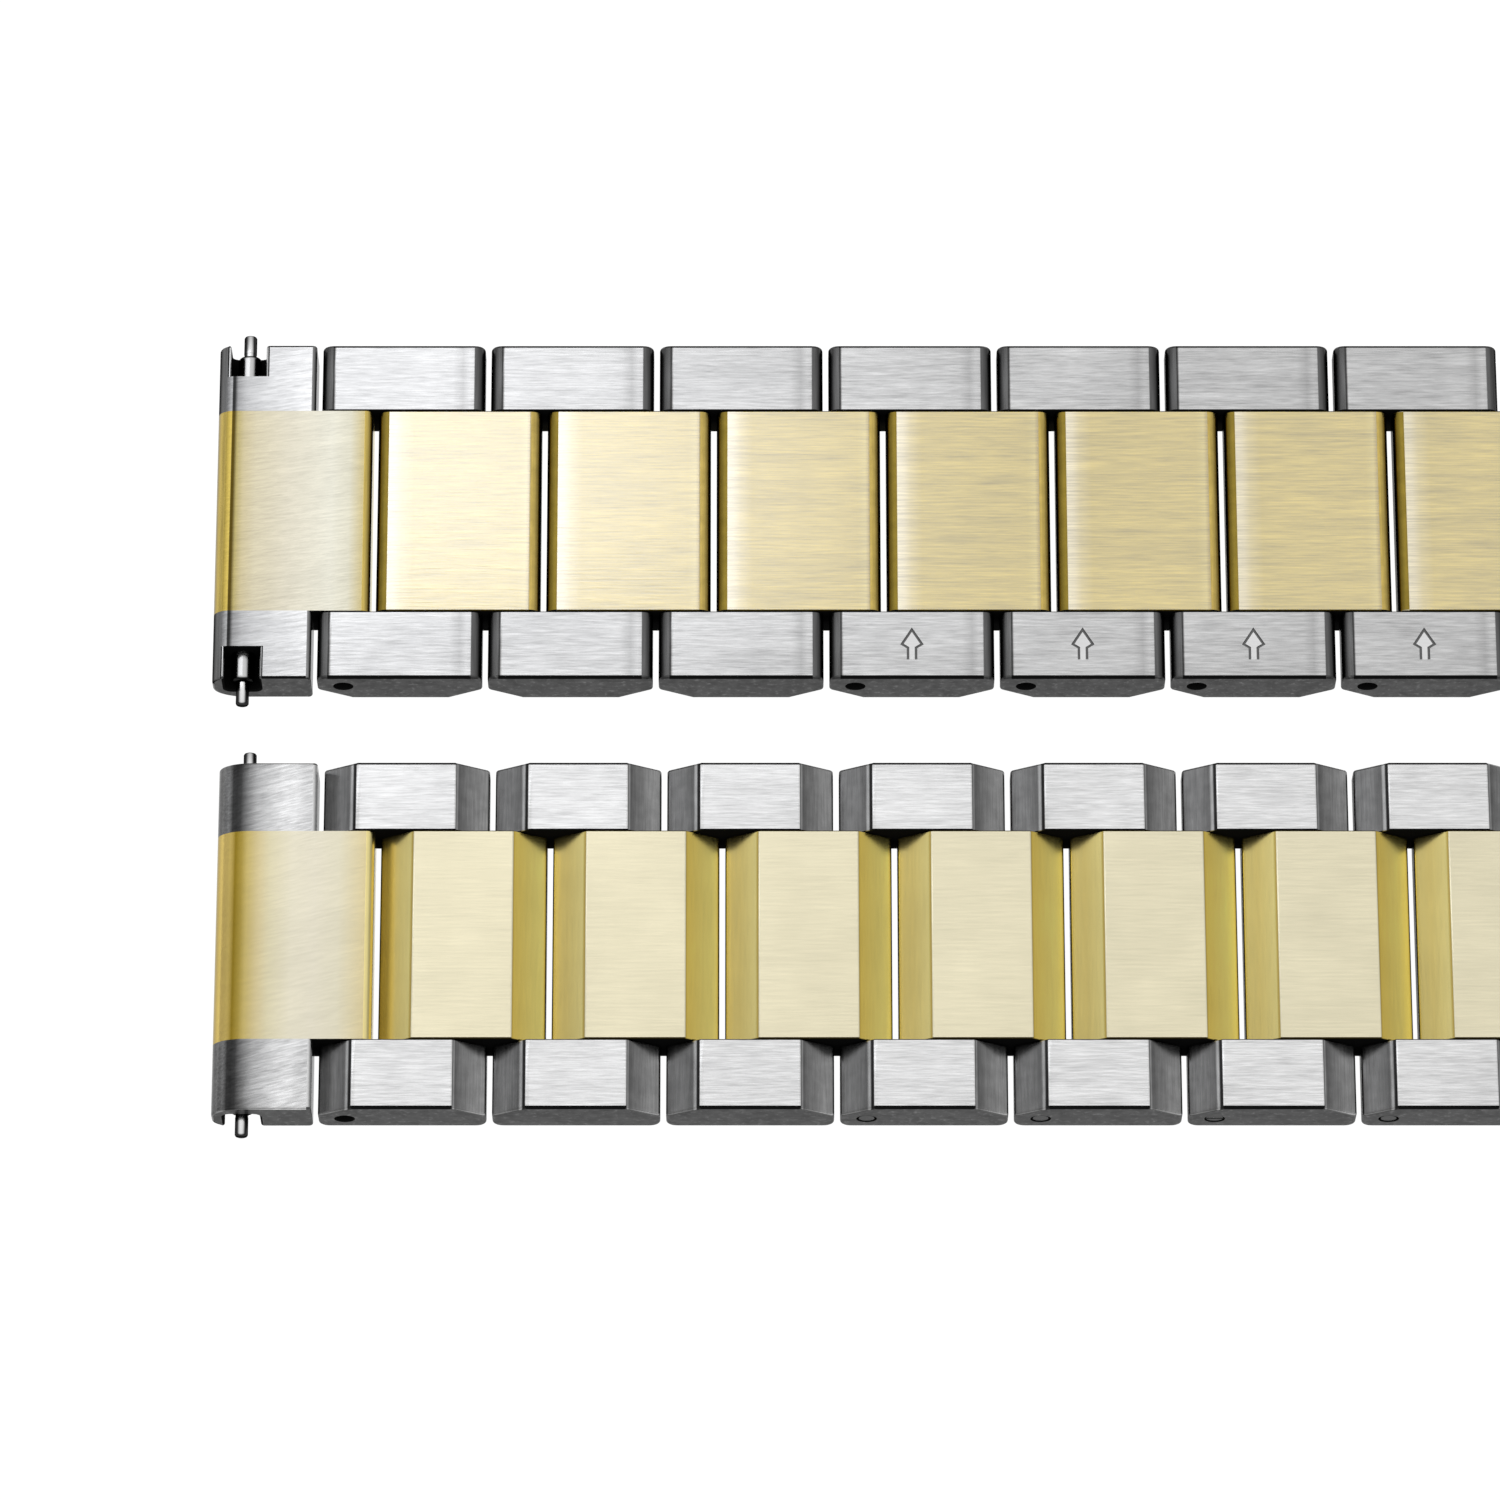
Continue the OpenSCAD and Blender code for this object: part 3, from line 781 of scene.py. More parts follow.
GOLD_BELLY_TONES_AND_PAINTED_LIGHT = (
    (0.46, (0.34, 0.25, 0.03)), (0.55, (0.64, 0.54, 0.28)), (0.65, (0.71, 0.63, 0.41)),
    (0.95, (0.69, 0.60, 0.37)), (1.35, (0.60, 0.49, 0.20)), (2.0, (0.545, 0.42, 0.09)),
    (7.8, (0.545, 0.42, 0.09)), (8.25, (0.60, 0.48, 0.13)), (8.40, (0.44, 0.32, 0.05)),
    (8.5, (0.30, 0.21, 0.02)),
)
GOLD_WALL_TONES_AND_PAINTED_SHADE = (
    (0.0, (0.23, 0.165, 0.028)), (0.62, (0.23, 0.165, 0.028)), (0.80, (0.58, 0.43, 0.12)),
    (9.2, (0.58, 0.43, 0.12)),
)
STEEL_ROLL_TONES_AND_PAINTED_LIGHT = (
    (0.0, grey(0.06)), (0.2, grey(0.10)), (0.42, grey(0.20)), (0.63, grey(0.25)), (0.85, grey(0.045)),
    (1.07, grey(0.03)), (1.3, grey(0.04)), (1.7, grey(0.16)), (2.2, grey(0.33)), (3.0, grey(0.48)),
    (3.6, grey(0.58)), (4.3, grey(0.60)), (4.9, grey(0.53)),
)
GOLD_ROLL_TONES_AND_PAINTED_LIGHT = (
    (0.0, (0.26, 0.19, 0.03)), (0.4, (0.78, 0.58, 0.18)), (0.75, (0.64, 0.48, 0.14)),
    (1.05, (0.23, 0.155, 0.014)), (1.4, (0.30, 0.22, 0.045)), (1.75, (0.44, 0.35, 0.125)),
    (2.4, (0.54, 0.46, 0.26)), (3.0, (0.58, 0.53, 0.36)), (4.2, (0.64, 0.60, 0.47)),
    (5.4, (0.64, 0.60, 0.48)), (6.7, (0.63, 0.59, 0.45)), (8.2, (0.59, 0.50, 0.28)),
)
STEEL_END_TONES_AND_PAINTED_LIGHT = (
    (0.40, grey(0.13)), (0.78, grey(0.24)), (0.82, grey(0.02)), (0.95, grey(0.02)),
    (1.12, grey(0.21)), (1.6, grey(0.32)), (3.0, grey(0.44)), (5.2, grey(0.54)),
)
GOLD_END_TONES_AND_PAINTED_LIGHT = (
    (0.40, (0.34, 0.25, 0.05)), (0.78, (0.40, 0.30, 0.07)), (0.82, (0.06, 0.04, 0.006)),
    (0.95, (0.06, 0.04, 0.006)), (1.12, (0.30, 0.25, 0.10)), (1.5, (0.38, 0.33, 0.20)),
    (2.2, (0.42, 0.38, 0.27)), (4.0, (0.45, 0.42, 0.335)), (6.4, (0.49, 0.475, 0.40)),
    (7.4, (0.46, 0.44, 0.35)), (8.1, (0.40, 0.34, 0.18)),
)

# Finishes. A list has one for each zone, in the order of Zone.
# Painted shade: matt black, not metal, for holes, rounded rims and seams that sit in shade.
BORE_PAINTED_SHADE = Metal("bore painted shade", grey(0.01), 0.9, 0.10, bump=0, metallic=0)
EDGE_PAINTED_SHADE = Metal("edge painted shade", grey(0.008), 0.9, 0.10, bump=0, metallic=0)
SEAM_PAINTED_SHADE = Metal("seam painted shade", grey(0.006), 0.9, 0.10, bump=0, metallic=0)
# Painted dark reflection: the flank's steel is painted dark grey, standing in for the dark surroundings that
# an upright side reflects.
FLANK_STEEL_PAINTED_DARK = Metal(
    "steel satin flank painted dark", grey(0.080), 0.36, 0.20, fine=5200, stretch=2.5, mottle=0.22, patch=1800,
    glance=0.6, flecks=1.3,
)
# Painted light on the steel links: the underside's and the bevel's tones paint highlights and dark lines at
# the creases and ends, fall paints shade on the bevels' noses, and the end wall is painted dark grey with
# more painted shade as it turns upright.
STEEL = [
    Metal("steel brushed flat", grey(0.67), 0.22, 0.26, fine=9000, stretch=14),
    Metal("steel brushed underside", grey(0.51), 0.15, 0.31, fine=9000, stretch=14, tones=STEEL_BELLY_TONES_AND_PAINTED_LIGHT),
    Metal(
        "steel polished bevel", grey(0.40), 0.22, 0.22, grain=Axis.Y, mottle=0.10, patch=1500, fall=0.08,
        tones=STEEL_BEVEL_TONES_AND_PAINTED_LIGHT,
    ),
    Metal("steel end wall painted shade", grey(0.12), 0.26, 0.26, grain=Axis.Y, fall=0.05, level=(0.30, 1.0), glance=0.3),
    FLANK_STEEL_PAINTED_DARK, BORE_PAINTED_SHADE, EDGE_PAINTED_SHADE, SEAM_PAINTED_SHADE,
]
# Painted light on the gold links: the underside's and the bevel's tones paint highlights and dark lines at
# the creases and ends, the end wall's tones and fall paint shade where its fillet turns upright, the flank is
# a painted dark reflection, and the edge is matt black painted shade.
GOLD = [
    Metal("gold brushed flat", (0.72, 0.665, 0.48), 0.22, 0.065, fine=9000),
    Metal(
        "gold brushed underside", (0.545, 0.42, 0.09), 0.36, 0.40, fine=9000, tones=GOLD_BELLY_TONES_AND_PAINTED_LIGHT,
        coat_ior=3.0,
    ),
    Metal(
        "gold polished bevel", (1.0, 0.80, 0.30), 0.22, 0.05, grain=Axis.Y, fall=0.10, tones=GOLD_BEVEL_TONES_AND_PAINTED_LIGHT
    ),
    Metal(
        "gold end wall painted shade", (0.58, 0.43, 0.12), 0.26, 0.14, grain=Axis.Y, mottle=0.10, patch=1500, fall=0.02,
        level=(0.42, 0.74), glance=0.3, tones=GOLD_WALL_TONES_AND_PAINTED_SHADE,
    ),
    Metal("gold satin flank painted dark", (0.10, 0.08, 0.02), 0.34, 0.10, glance=0.5),
    BORE_PAINTED_SHADE,
    Metal("gold edge painted shade", (0.05, 0.035, 0.008), 0.9, 0.10, bump=0, metallic=0),
    SEAM_PAINTED_SHADE,
]
# Painted light on the steel end link: the top's tones paint the reflection along the rolled edge, the
# underside's tones a dark band with lighter steel beyond it, and fall paints shade on the walls.
STEEL_END = [
    Metal("steel end link flat", grey(0.73), 0.22, 0.40, 9500, 9, -14, tones=STEEL_ROLL_TONES_AND_PAINTED_LIGHT),
    Metal("steel end link underside", grey(0.40), 0.15, 0.30, 9500, 9, -8, tones=STEEL_END_TONES_AND_PAINTED_LIGHT),
    Metal("steel end link edge", grey(0.62), 0.2, 0.08, glance=0.4),
    Metal(
        "steel end link wall painted shade", grey(0.24), 0.26, 0.20, grain=Axis.Y, fall=0.15, level=(0.2, 1.0), glance=0.3
    ),
    *STEEL[Zone.FLANK:],
]
# Painted light on the gold band of the end link: the tones paint the reflection along the rolled top, turning
# from dark gold to cream, and a dark band across the underside, and fall paints shade on the nose and the
# walls.
GOLD_END = [
    Metal("gold end link flat", (0.72, 0.66, 0.48), 0.22, 0.07, 9500, 9, -14, tones=GOLD_ROLL_TONES_AND_PAINTED_LIGHT),
    Metal("gold end link underside", (0.43, 0.39, 0.31), 0.15, 0.17, 9500, 9, -8, tones=GOLD_END_TONES_AND_PAINTED_LIGHT),
    Metal("gold end link nose", (0.80, 0.68, 0.30), 0.24, 0.06, grain=Axis.Y, fall=0.8),
    Metal("gold end link wall painted shade", (0.60, 0.45, 0.12), 0.26, 0.14, grain=Axis.Y, fall=0.3, level=(0.2, 0.8)),
    *GOLD[Zone.FLANK:],
]
GROOVE = Metal("steel engraved line", grey(0.13), 0.4, 0.10, bump=0, glance=0.3)
MARK = Metal("steel engraved field", grey(0.72), 0.4, 0.06, bump=0)
# Painted light on pins and bars: fall darkens a round pin's sides, which leaves a painted highlight along its
# top, and the pins' ends are painted dark like the flanks.
PIN = Metal(
    "pin turned steel", grey(0.80), 0.18, 0.06, grain=Axis.Y, fall=0.05, level=(0.78, 1.0), glance=0.3
)
PIN_END_PAINTED_DARK = Metal("pin end steel painted dark", grey(0.095), 0.36, 0.16, fine=5200, stretch=2.5, glance=0.6)
BAR = Metal(
    "spring bar steel", grey(0.60), 0.2, 0.06, grain=Axis.Y, fall=0.03, level=(0.78, 1.0), glance=0.3
)
PLAIN_PIN = Metal("clasp pin steel", grey(0.42), 0.24, 0.06, grain=Axis.Y)
SPRING = Metal("spring wire", grey(0.40), 0.3, 0.05)
BLADE = Metal("clasp blade steel", grey(0.44), 0.26, 0.12)
COVER = Metal("clasp cover steel", grey(0.73), 0.24, 0.30, fine=9000, stretch=14)
COVER_SIDE = Metal("clasp cover side", grey(0.24), 0.3, 0.14, glance=0.6)


@dataclass(frozen=True)
class Workshop:
    """Makes Blender objects out of shells.

    Points closer than weld are merged and faces thinner than sliver dropped, both in metres. Edges that
    turn by more than sharp_deg stay sharp, and flat_weight is how much large faces lead the normals, from
    1 to 100.
    """

    weld: float = 1e-7
    sliver: float = 1e-8
    sharp_deg: float = 32.0
    flat_weight: int = 100

    def piece(
        self, name: str, shells: list[Shell], place: HalfPlace, finishes: list[Metal]
    ) -> bpy.types.Object:
        """Put shells into one mesh object with its normals settled.

        Args:
            name: the piece's name.
            shells: the closed surfaces that it is made of.
            place: the half whose coordinates they are in.
            finishes: one for each zone.

        Returns:
            The object, at the origin, with its place in its mesh.
        """
        start, faces = 0, []
        for shell in shells:
            faces += (shell.quads + start).tolist()
            faces += [(lid + start).tolist() for lid in shell.lids]
            start += len(shell.points)
        mesh = bpy.data.meshes.new(name)
        mesh.from_pydata(place.world(np.concatenate([shell.points for shell in shells])).tolist(), [], faces)
        zones = np.concatenate([shell.zones for shell in shells]).astype(np.int32)
        mesh.polygons.foreach_set("material_index", zones)
        for finish in finishes:
            mesh.materials.append(finish.build())
        self.close(mesh)
        thing = bpy.data.objects.new(name, mesh)
        bpy.context.scene.collection.objects.link(thing)
        return thing

    def close(self, mesh: bpy.types.Mesh) -> None:
        """Merge points that meet, which closes poles and drops empty faces.

        Args:
            mesh: the mesh, which is changed.
        """
        work = bmesh.new()
        work.from_mesh(mesh)
        bmesh.ops.remove_doubles(work, verts=work.verts, dist=self.weld)
        bmesh.ops.dissolve_degenerate(work, edges=work.edges, dist=self.sliver)
        work.to_mesh(mesh)
        work.free()

    def cut(self, thing: bpy.types.Object, cutters: list[Shell], place: HalfPlace, zone: int) -> None:
        """Take closed surfaces away from an object and keep the result as its mesh.

        Args:
            thing: the object.
            cutters: what is taken away.
            place: the half whose coordinates the cutters are in.
            zone: the finish of the new faces.
        """
        for cutter in cutters:
            shell = replace(cutter, zones=np.full(len(cutter.zones), int(zone)))
            tool = self.piece("cutter", [shell], place, [])
            modifier = thing.modifiers.new("cut", "BOOLEAN")
            modifier.operation, modifier.solver, modifier.object = "DIFFERENCE", "EXACT", tool
            graph = bpy.context.evaluated_depsgraph_get()
            mesh = bpy.data.meshes.new_from_object(thing.evaluated_get(graph))
            thing.modifiers.remove(modifier)
            old, thing.data = thing.data, mesh
            bpy.data.meshes.remove(old)
            waste = tool.data
            bpy.data.objects.remove(tool)
            bpy.data.meshes.remove(waste)

    def shade(self, mesh: bpy.types.Mesh) -> None:
        """Shade smooth within flats and fillets and sharp at true edges."""
        mesh.polygons.foreach_set("use_smooth", np.ones(len(mesh.polygons), bool))
        mesh.set_sharp_from_angle(angle=radians(self.sharp_deg))

    def chart(self, thing: bpy.types.Object, place: HalfPlace, start: float) -> None:
        """Store, for the finishes' painted shade and painted highlights, how level each corner lies and how
        far along the piece it is.

        u = |n . up| for the corner's smooth normal n, and v = (x - start) / CHART_MM.

        Args:
            thing: the piece.
            place: the half whose coordinates start is in.
            start: x of the piece's left end.
        """
        mesh = thing.data
        self.shade(mesh)
        corners = len(mesh.loops)
        normal = np.empty(corners * 3, np.float32)
        mesh.corner_normals.foreach_get("vector", normal)
        vertex = np.empty(corners, np.int32)
        mesh.loops.foreach_get("vertex_index", vertex)
        points = np.empty(len(mesh.vertices) * 3, np.float32)
        mesh.vertices.foreach_get("co", points)
        along = points.reshape(-1, 3)[vertex, 0] / MM + place.middle - start
        chart = np.stack([np.abs(normal.reshape(-1, 3)[:, 2]), along / CHART_MM], 1)
        mesh.uv_layers.new(name=CHART).data.foreach_set("uv", chart.astype(np.float32).ravel())

    def settle(self, thing: bpy.types.Object) -> None:
        """Shade a finished piece and let its large flat faces lead its normals.

        Args:
            thing: the piece.
        """
        mesh = thing.data
        self.shade(mesh)
        modifier = thing.modifiers.new("flat faces lead", "WEIGHTED_NORMAL")
        modifier.keep_sharp = True
        modifier.weight = self.flat_weight
        mesh.update()


SHOP = Workshop()


def hand_in(thing: bpy.types.Object, body: str, node: str) -> None:
    """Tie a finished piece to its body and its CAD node.

    Args:
        thing: the piece.
        body: the body it moves with.
        node: the CAD node that it stands for.
    """
    SHOP.settle(thing)
    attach(thing, body)
    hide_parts(node)
    LOG.info("%s: %d faces, on %s", thing.name, len(thing.data.polygons), body)


def dress(node: str, finish: Metal) -> None:
    """Give a CAD node that keeps its own solid a finish.

    Args:
        node: the node's name.
        finish: the metal.
    """
    thing = bpy.data.objects[node]
    for slot in thing.material_slots:
        slot.material = finish.build()
    LOG.info("%s: its own solid, %s", node, finish.name)


@dataclass(frozen=True)
class LinkRow:
    """One row: two steel outer links beside a gold-coloured centre link, with its pins.

    Three tuples name rows: those in pushed have hinge holes through both flanks, those in split_near have
    the pin's split end at the near flank, and those in marked have the arrow. Where a pin's end shows, it
    lies shown_recess inside the flank. The first row's pin is pushed in by first_pin_recess instead of the
    usual pin_recess, and both its ends move with it.
    """

    number: int
    place: HalfPlace
    pitch: float = PITCH
    bar_to_hinge: float = BAR_TO_HINGE
    gap: float = 0.32
    inset: float = 1.43
    thickness: float = THICKNESS
    hinge_z: float = HINGE_Z
    bevel_run: float = 1.85
    bevel_drop: float = 1.2
    underside_r: float = 0.6
    nose_r: float = 0.26
    crease_r: float = 0.15
    rim: float = 0.16
    seam_rim: float = 0.06
    seam_y: float = 6.04
    centre_y: float = CENTRE_Y
    flank_y: float = FLANK_Y
    push_hole_r: float = 0.56
    hinge_hole_r: float = HINGE_HOLE_R
    bar_bore_r: float = 0.70
    blind_y: float = 8.8
    pin_play: float = 0.1
    pin_r: float = 0.48
    split_w: float = 0.16
    split_l: float = 2.4
    push_depth: float = 2.6
    pin_recess: float = 0.12
    shown_recess: float = 0.03
    first_pin_recess: float = 0.6
    lock_pin_r: float = 0.45
    lock_y: float = 8.3
    lock_sides: int = 28
    pushed: tuple[int, ...] = (1, 4, 5, 6, 7)
    split_near: tuple[int, ...] = (1, 6)
    split_turn: float = 15.0
    marked: tuple[int, ...] = (4, 5, 6, 7)

    @property
    def body(self) -> str:
        """The body that the row is."""
        return f"{self.place.half.value}_row_{self.number}"

    @property
    def hinge_x(self) -> float:
        """The row's own hinge, from the spring bar."""
        return self.bar_to_hinge + (self.number - 1) * self.pitch

    @property
    def length(self) -> float:
        """The length of a link."""
        return self.pitch - self.gap

    def outline(self, start: float) -> Outline:
        """A link's side: flat top between two bevels, upright ends and a rounded underside.

        Args:
            start: x of the link's left end.

        Returns:
            The rounded outline.
        """
        right, shoulder = start + self.length, self.thickness - self.bevel_drop
        corners = [
            (start, 0.0),
            (right, 0.0),
            (right, shoulder),
            (right - self.bevel_run, self.thickness),
            (start + self.bevel_run, self.thickness),
            (start, shoulder),
        ]
        radii = [self.underside_r, self.underside_r, self.nose_r, self.crease_r, self.crease_r, self.nose_r]
        edges = [Zone.UNDERSIDE, Zone.WALL, Zone.BEVEL, Zone.FLAT, Zone.BEVEL, Zone.WALL]
        bends = [Zone.WALL, Zone.WALL, Zone.BEVEL, Zone.FLAT, Zone.FLAT, Zone.BEVEL]
        return Outline.rounded(corners, radii, edges, bends)

    def outer_links(self) -> bpy.types.Object:
        """The pair of steel links, with the engraved arrow where the row has one.

        Returns:
            Both links as one piece.
        """
        start = self.hinge_x - self.inset
        through = self.number in self.pushed
        shell = bored_block(
            self.outline(start),
            self.seam_y,
            self.flank_y,
            (self.seam_rim, self.rim),
            (self.hinge_x, self.hinge_z),
            self.push_hole_r if through else self.hinge_hole_r,
            None if through else self.blind_y,
            (Zone.SEAM, Zone.FLANK),
        )
        finishes = [*STEEL, GROOVE, MARK]
        thing = SHOP.piece(f"{self.body}_steel_links", [shell, shell.mirrored()], self.place, finishes)
        if self.number in self.marked:
            middle = (start + self.length / 2, (self.seam_y + self.flank_y) / 2)
            for cutter, finish in zip(Arrow().cutters(*middle), (MARK, GROOVE)):
                SHOP.cut(thing, [cutter], self.place, finishes.index(finish))
        SHOP.chart(thing, self.place, start)
        return thing

    def centre_link(self) -> bpy.types.Object:
        """The wide link, whose free end carries the next row's hinge pin.

        Returns:
            The link. The loose half's last one is bored for the clasp's spring bar, and its flanks show.
        """
        start = self.hinge_x + self.inset + self.gap
        free_end = self.place.turned and self.number == ROWS
        flank = Zone.UNDERSIDE if free_end else Zone.SEAM
        shell = bored_block(
            self.outline(start),
            -self.centre_y,
            self.centre_y,
            (self.seam_rim, self.seam_rim),
            (self.hinge_x + self.pitch, self.hinge_z),
            self.bar_bore_r if free_end else self.hinge_hole_r,
            flanks=(flank, flank),
        )
        thing = SHOP.piece(f"{self.body}_gold_link", [shell], self.place, GOLD)
        SHOP.chart(thing, self.place, start)
        return thing

    def pin_ends(self) -> Pair:
        """Where the hinge pin ends across the bracelet.

        Returns:
            y of its lower end and of its upper end, over which a through hole stays open.
        """
        if self.number not in self.pushed:
            return -self.blind_y + self.pin_play, self.blind_y - self.pin_play
        if self.number == 1:
            shift = self.first_pin_recess - self.pin_recess
            return -self.flank_y + self.first_pin_recess, self.flank_y - self.push_depth + shift
        return -self.flank_y + self.shown_recess, self.flank_y - self.push_depth

    def pins(self) -> bpy.types.Object:
        """The split hinge pin and the two lock pins.

        Returns:
            The three pins as one piece.
        """
        pin = SplitPin(self.pin_r, self.split_w, self.split_l, self.number not in self.split_near)
        turn = 90 + self.split_turn * self.number
        shells = pin.shells(*self.pin_ends(), (self.hinge_x, self.hinge_z), turn)
        rod = rounded_rod(self.lock_pin_r, -self.lock_y, self.lock_y)
        for x in (2 * self.inset + self.gap, self.length - 2 * self.inset):
            shells.append(lathe(rod, (self.hinge_x + x, self.hinge_z), Zone.FLAT, self.lock_sides))
        thing = SHOP.piece(f"{self.body}_steel_pins", shells, self.place, [PIN, PIN_END_PAINTED_DARK])
        SHOP.chart(thing, self.place, self.hinge_x)
        return thing

    def build(self) -> None:
        """Make the row's three pieces and hand them in."""
        hand_in(self.outer_links(), self.body, f"{self.body}_outer_links")
        hand_in(self.centre_link(), self.body, f"{self.body}_centre_link")
        hand_in(self.pins(), self.body, f"{self.body}_pins")


def rounded_rod(radius: float, low: float, high: float, edge: float = 0.06, points: int = 4) -> np.ndarray:
    """The profile of a rod with softened ends, from pole to pole.

    At angle a of an end's quarter circle the radius is radius - edge*(1 - sin a), edge*(1 - cos a) from
    the end.

    Args:
        radius: the rod's radius.
        low: y of one end.
        high: y of the other end.
        edge: the radius of the softening.
        points: points on each end's quarter circle.

    Returns:
        (radius, y) from the lower pole to the upper one, an even number of points.
    """
    turn = np.linspace(0, pi / 2, points)
    start = np.c_[radius - edge * (1 - np.sin(turn)), low + edge * (1 - np.cos(turn))]
    end = (start * [1, -1] + [0, low + high])[::-1]
    return np.r_[[[0.0, low]], start, end, [[0.0, high]]]


@dataclass(frozen=True)
class SplitPin:
    """A straight pin whose end is slit into two springy prongs."""

    radius: float
    slit: float
    depth: float
    at_high: bool
    edge: float = 0.05
    edge_start: float = 0.3
    arc_points: int = 15
    chord_points: int = 6

    def prong(self, low: float, high: float, centre: Pair) -> Shell:
        """One prong: the part of the rod above its slit.

        The section is the arc from angle b to pi - b, where radius*sin b is half the slit, closed by its
        chord. Its end is softened in two steps, the first of them edge_start of the whole edge.

        Args:
            low: y of the pin's end.
            high: y where the slit ends.
            centre: x and z of the axis.

        Returns:
            The closed prong, softened at its end.
        """
        first = self.edge * self.edge_start
        rings = []
        for y, less in ((low, self.edge), (low + first, first), (low + self.edge, 0.0), (high, 0.0)):
            radius = self.radius - less
            start = np.arcsin(self.slit / 2 / radius)
            angle = np.linspace(start, pi - start, self.arc_points)
            arc = np.stack([radius * np.cos(angle), radius * np.sin(angle)], 1)
            chord = np.linspace(arc[-1], arc[0], self.chord_points)[1:-1]
            flat = np.r_[arc, chord]
            rings.append(np.stack([centre[0] + flat[:, 0], np.full(len(flat), y), centre[1] + flat[:, 1]], 1))
        width = len(rings[0])
        poles = [np.tile((centre[0], y, centre[1] + self.radius / 2), (width, 1)) for y in (low, high)]
        rings = [poles[0], *rings, poles[1]]
        zones = np.full((len(rings) - 1, width), int(Zone.FLAT))
        zones[:2] = int(Zone.UNDERSIDE)
        return Shell.skin(rings, zones)

    def shells(self, low: float, high: float, centre: Pair, turn: float) -> list[Shell]:
        """The whole pin: the rod and its two prongs.

        Args:
            low: y of one end.
            high: y of the other end.
            centre: x and z of the axis.
            turn: how far the slit is turned from level, in degrees.

        Returns:
            Three closed surfaces.
        """
        if self.at_high:
            flipped = replace(self, at_high=False).shells(-high, -low, centre, turn)
            return [shell.mirrored() for shell in flipped]
        root = low + self.depth
        upper = self.prong(low, root, centre)
        whole = rounded_rod(self.radius, low, high)
        far_end = whole[len(whole) // 2:]
        profile = np.r_[[[0.0, root], [self.radius, root]], far_end]
        rod = lathe(profile, centre, Zone.FLAT, end=Zone.UNDERSIDE)
        return [rod, upper.turned(turn, centre), upper.turned(turn + 180, centre)]


@dataclass(frozen=True)
class Arrow:
    """The engraved arrow on a removable row's underside, which points the way that its pin is pushed."""

    head: float = 0.86
    head_w: float = 1.10
    barb: float = 0.21
    shaft: float = 0.70
    shaft_w: float = 0.44
    stroke: float = 0.14
    depth: float = 0.07
    field_depth: float = 0.02
    overrun: float = 0.1

    def cutters(self, x: float, y: float) -> list[Shell]:
        """The cutters of the shallow field and of its line, a stroke of even width that is open at the tail.

        Each corner of the stroke lies stroke/2 / cos(half the turn) from the line's corner, along the
        mean of the two edges' normals.

        Args:
            x: the arrow's middle along the bracelet.
            y: its middle across it.

        Returns:
            Two prisms that reach from under the surface into the metal, the field's first.
        """
        tip = (self.head + self.barb + self.shaft) / 2
        wide, joint = tip - self.head, tip - self.head - self.barb
        half = [(self.shaft_w / 2, -tip), (self.shaft_w / 2, joint), (self.head_w / 2, wide)]
        line = np.array([*half, (0.0, tip), *[(-a, b) for a, b in half[::-1]]])
        line = np.array([x, y]) - line
        way = np.diff(line, axis=0)
        way /= np.linalg.norm(way, axis=1, keepdims=True)
        way = np.r_[way[:1], way, way[-1:]]
        mean = way[:-1] + way[1:]
        mean /= np.linalg.norm(mean, axis=1, keepdims=True)
        reach = self.stroke / 2 / np.einsum("ij,ij->i", mean, way[1:])
        out = np.stack([mean[:, 1], -mean[:, 0]], 1) * reach[:, None]
        stroke = prism(np.r_[line + out, (line - out)[::-1]], -self.overrun, self.depth, Zone.WALL)
        return [prism(line, -self.overrun, self.field_depth, Zone.WALL), stroke]


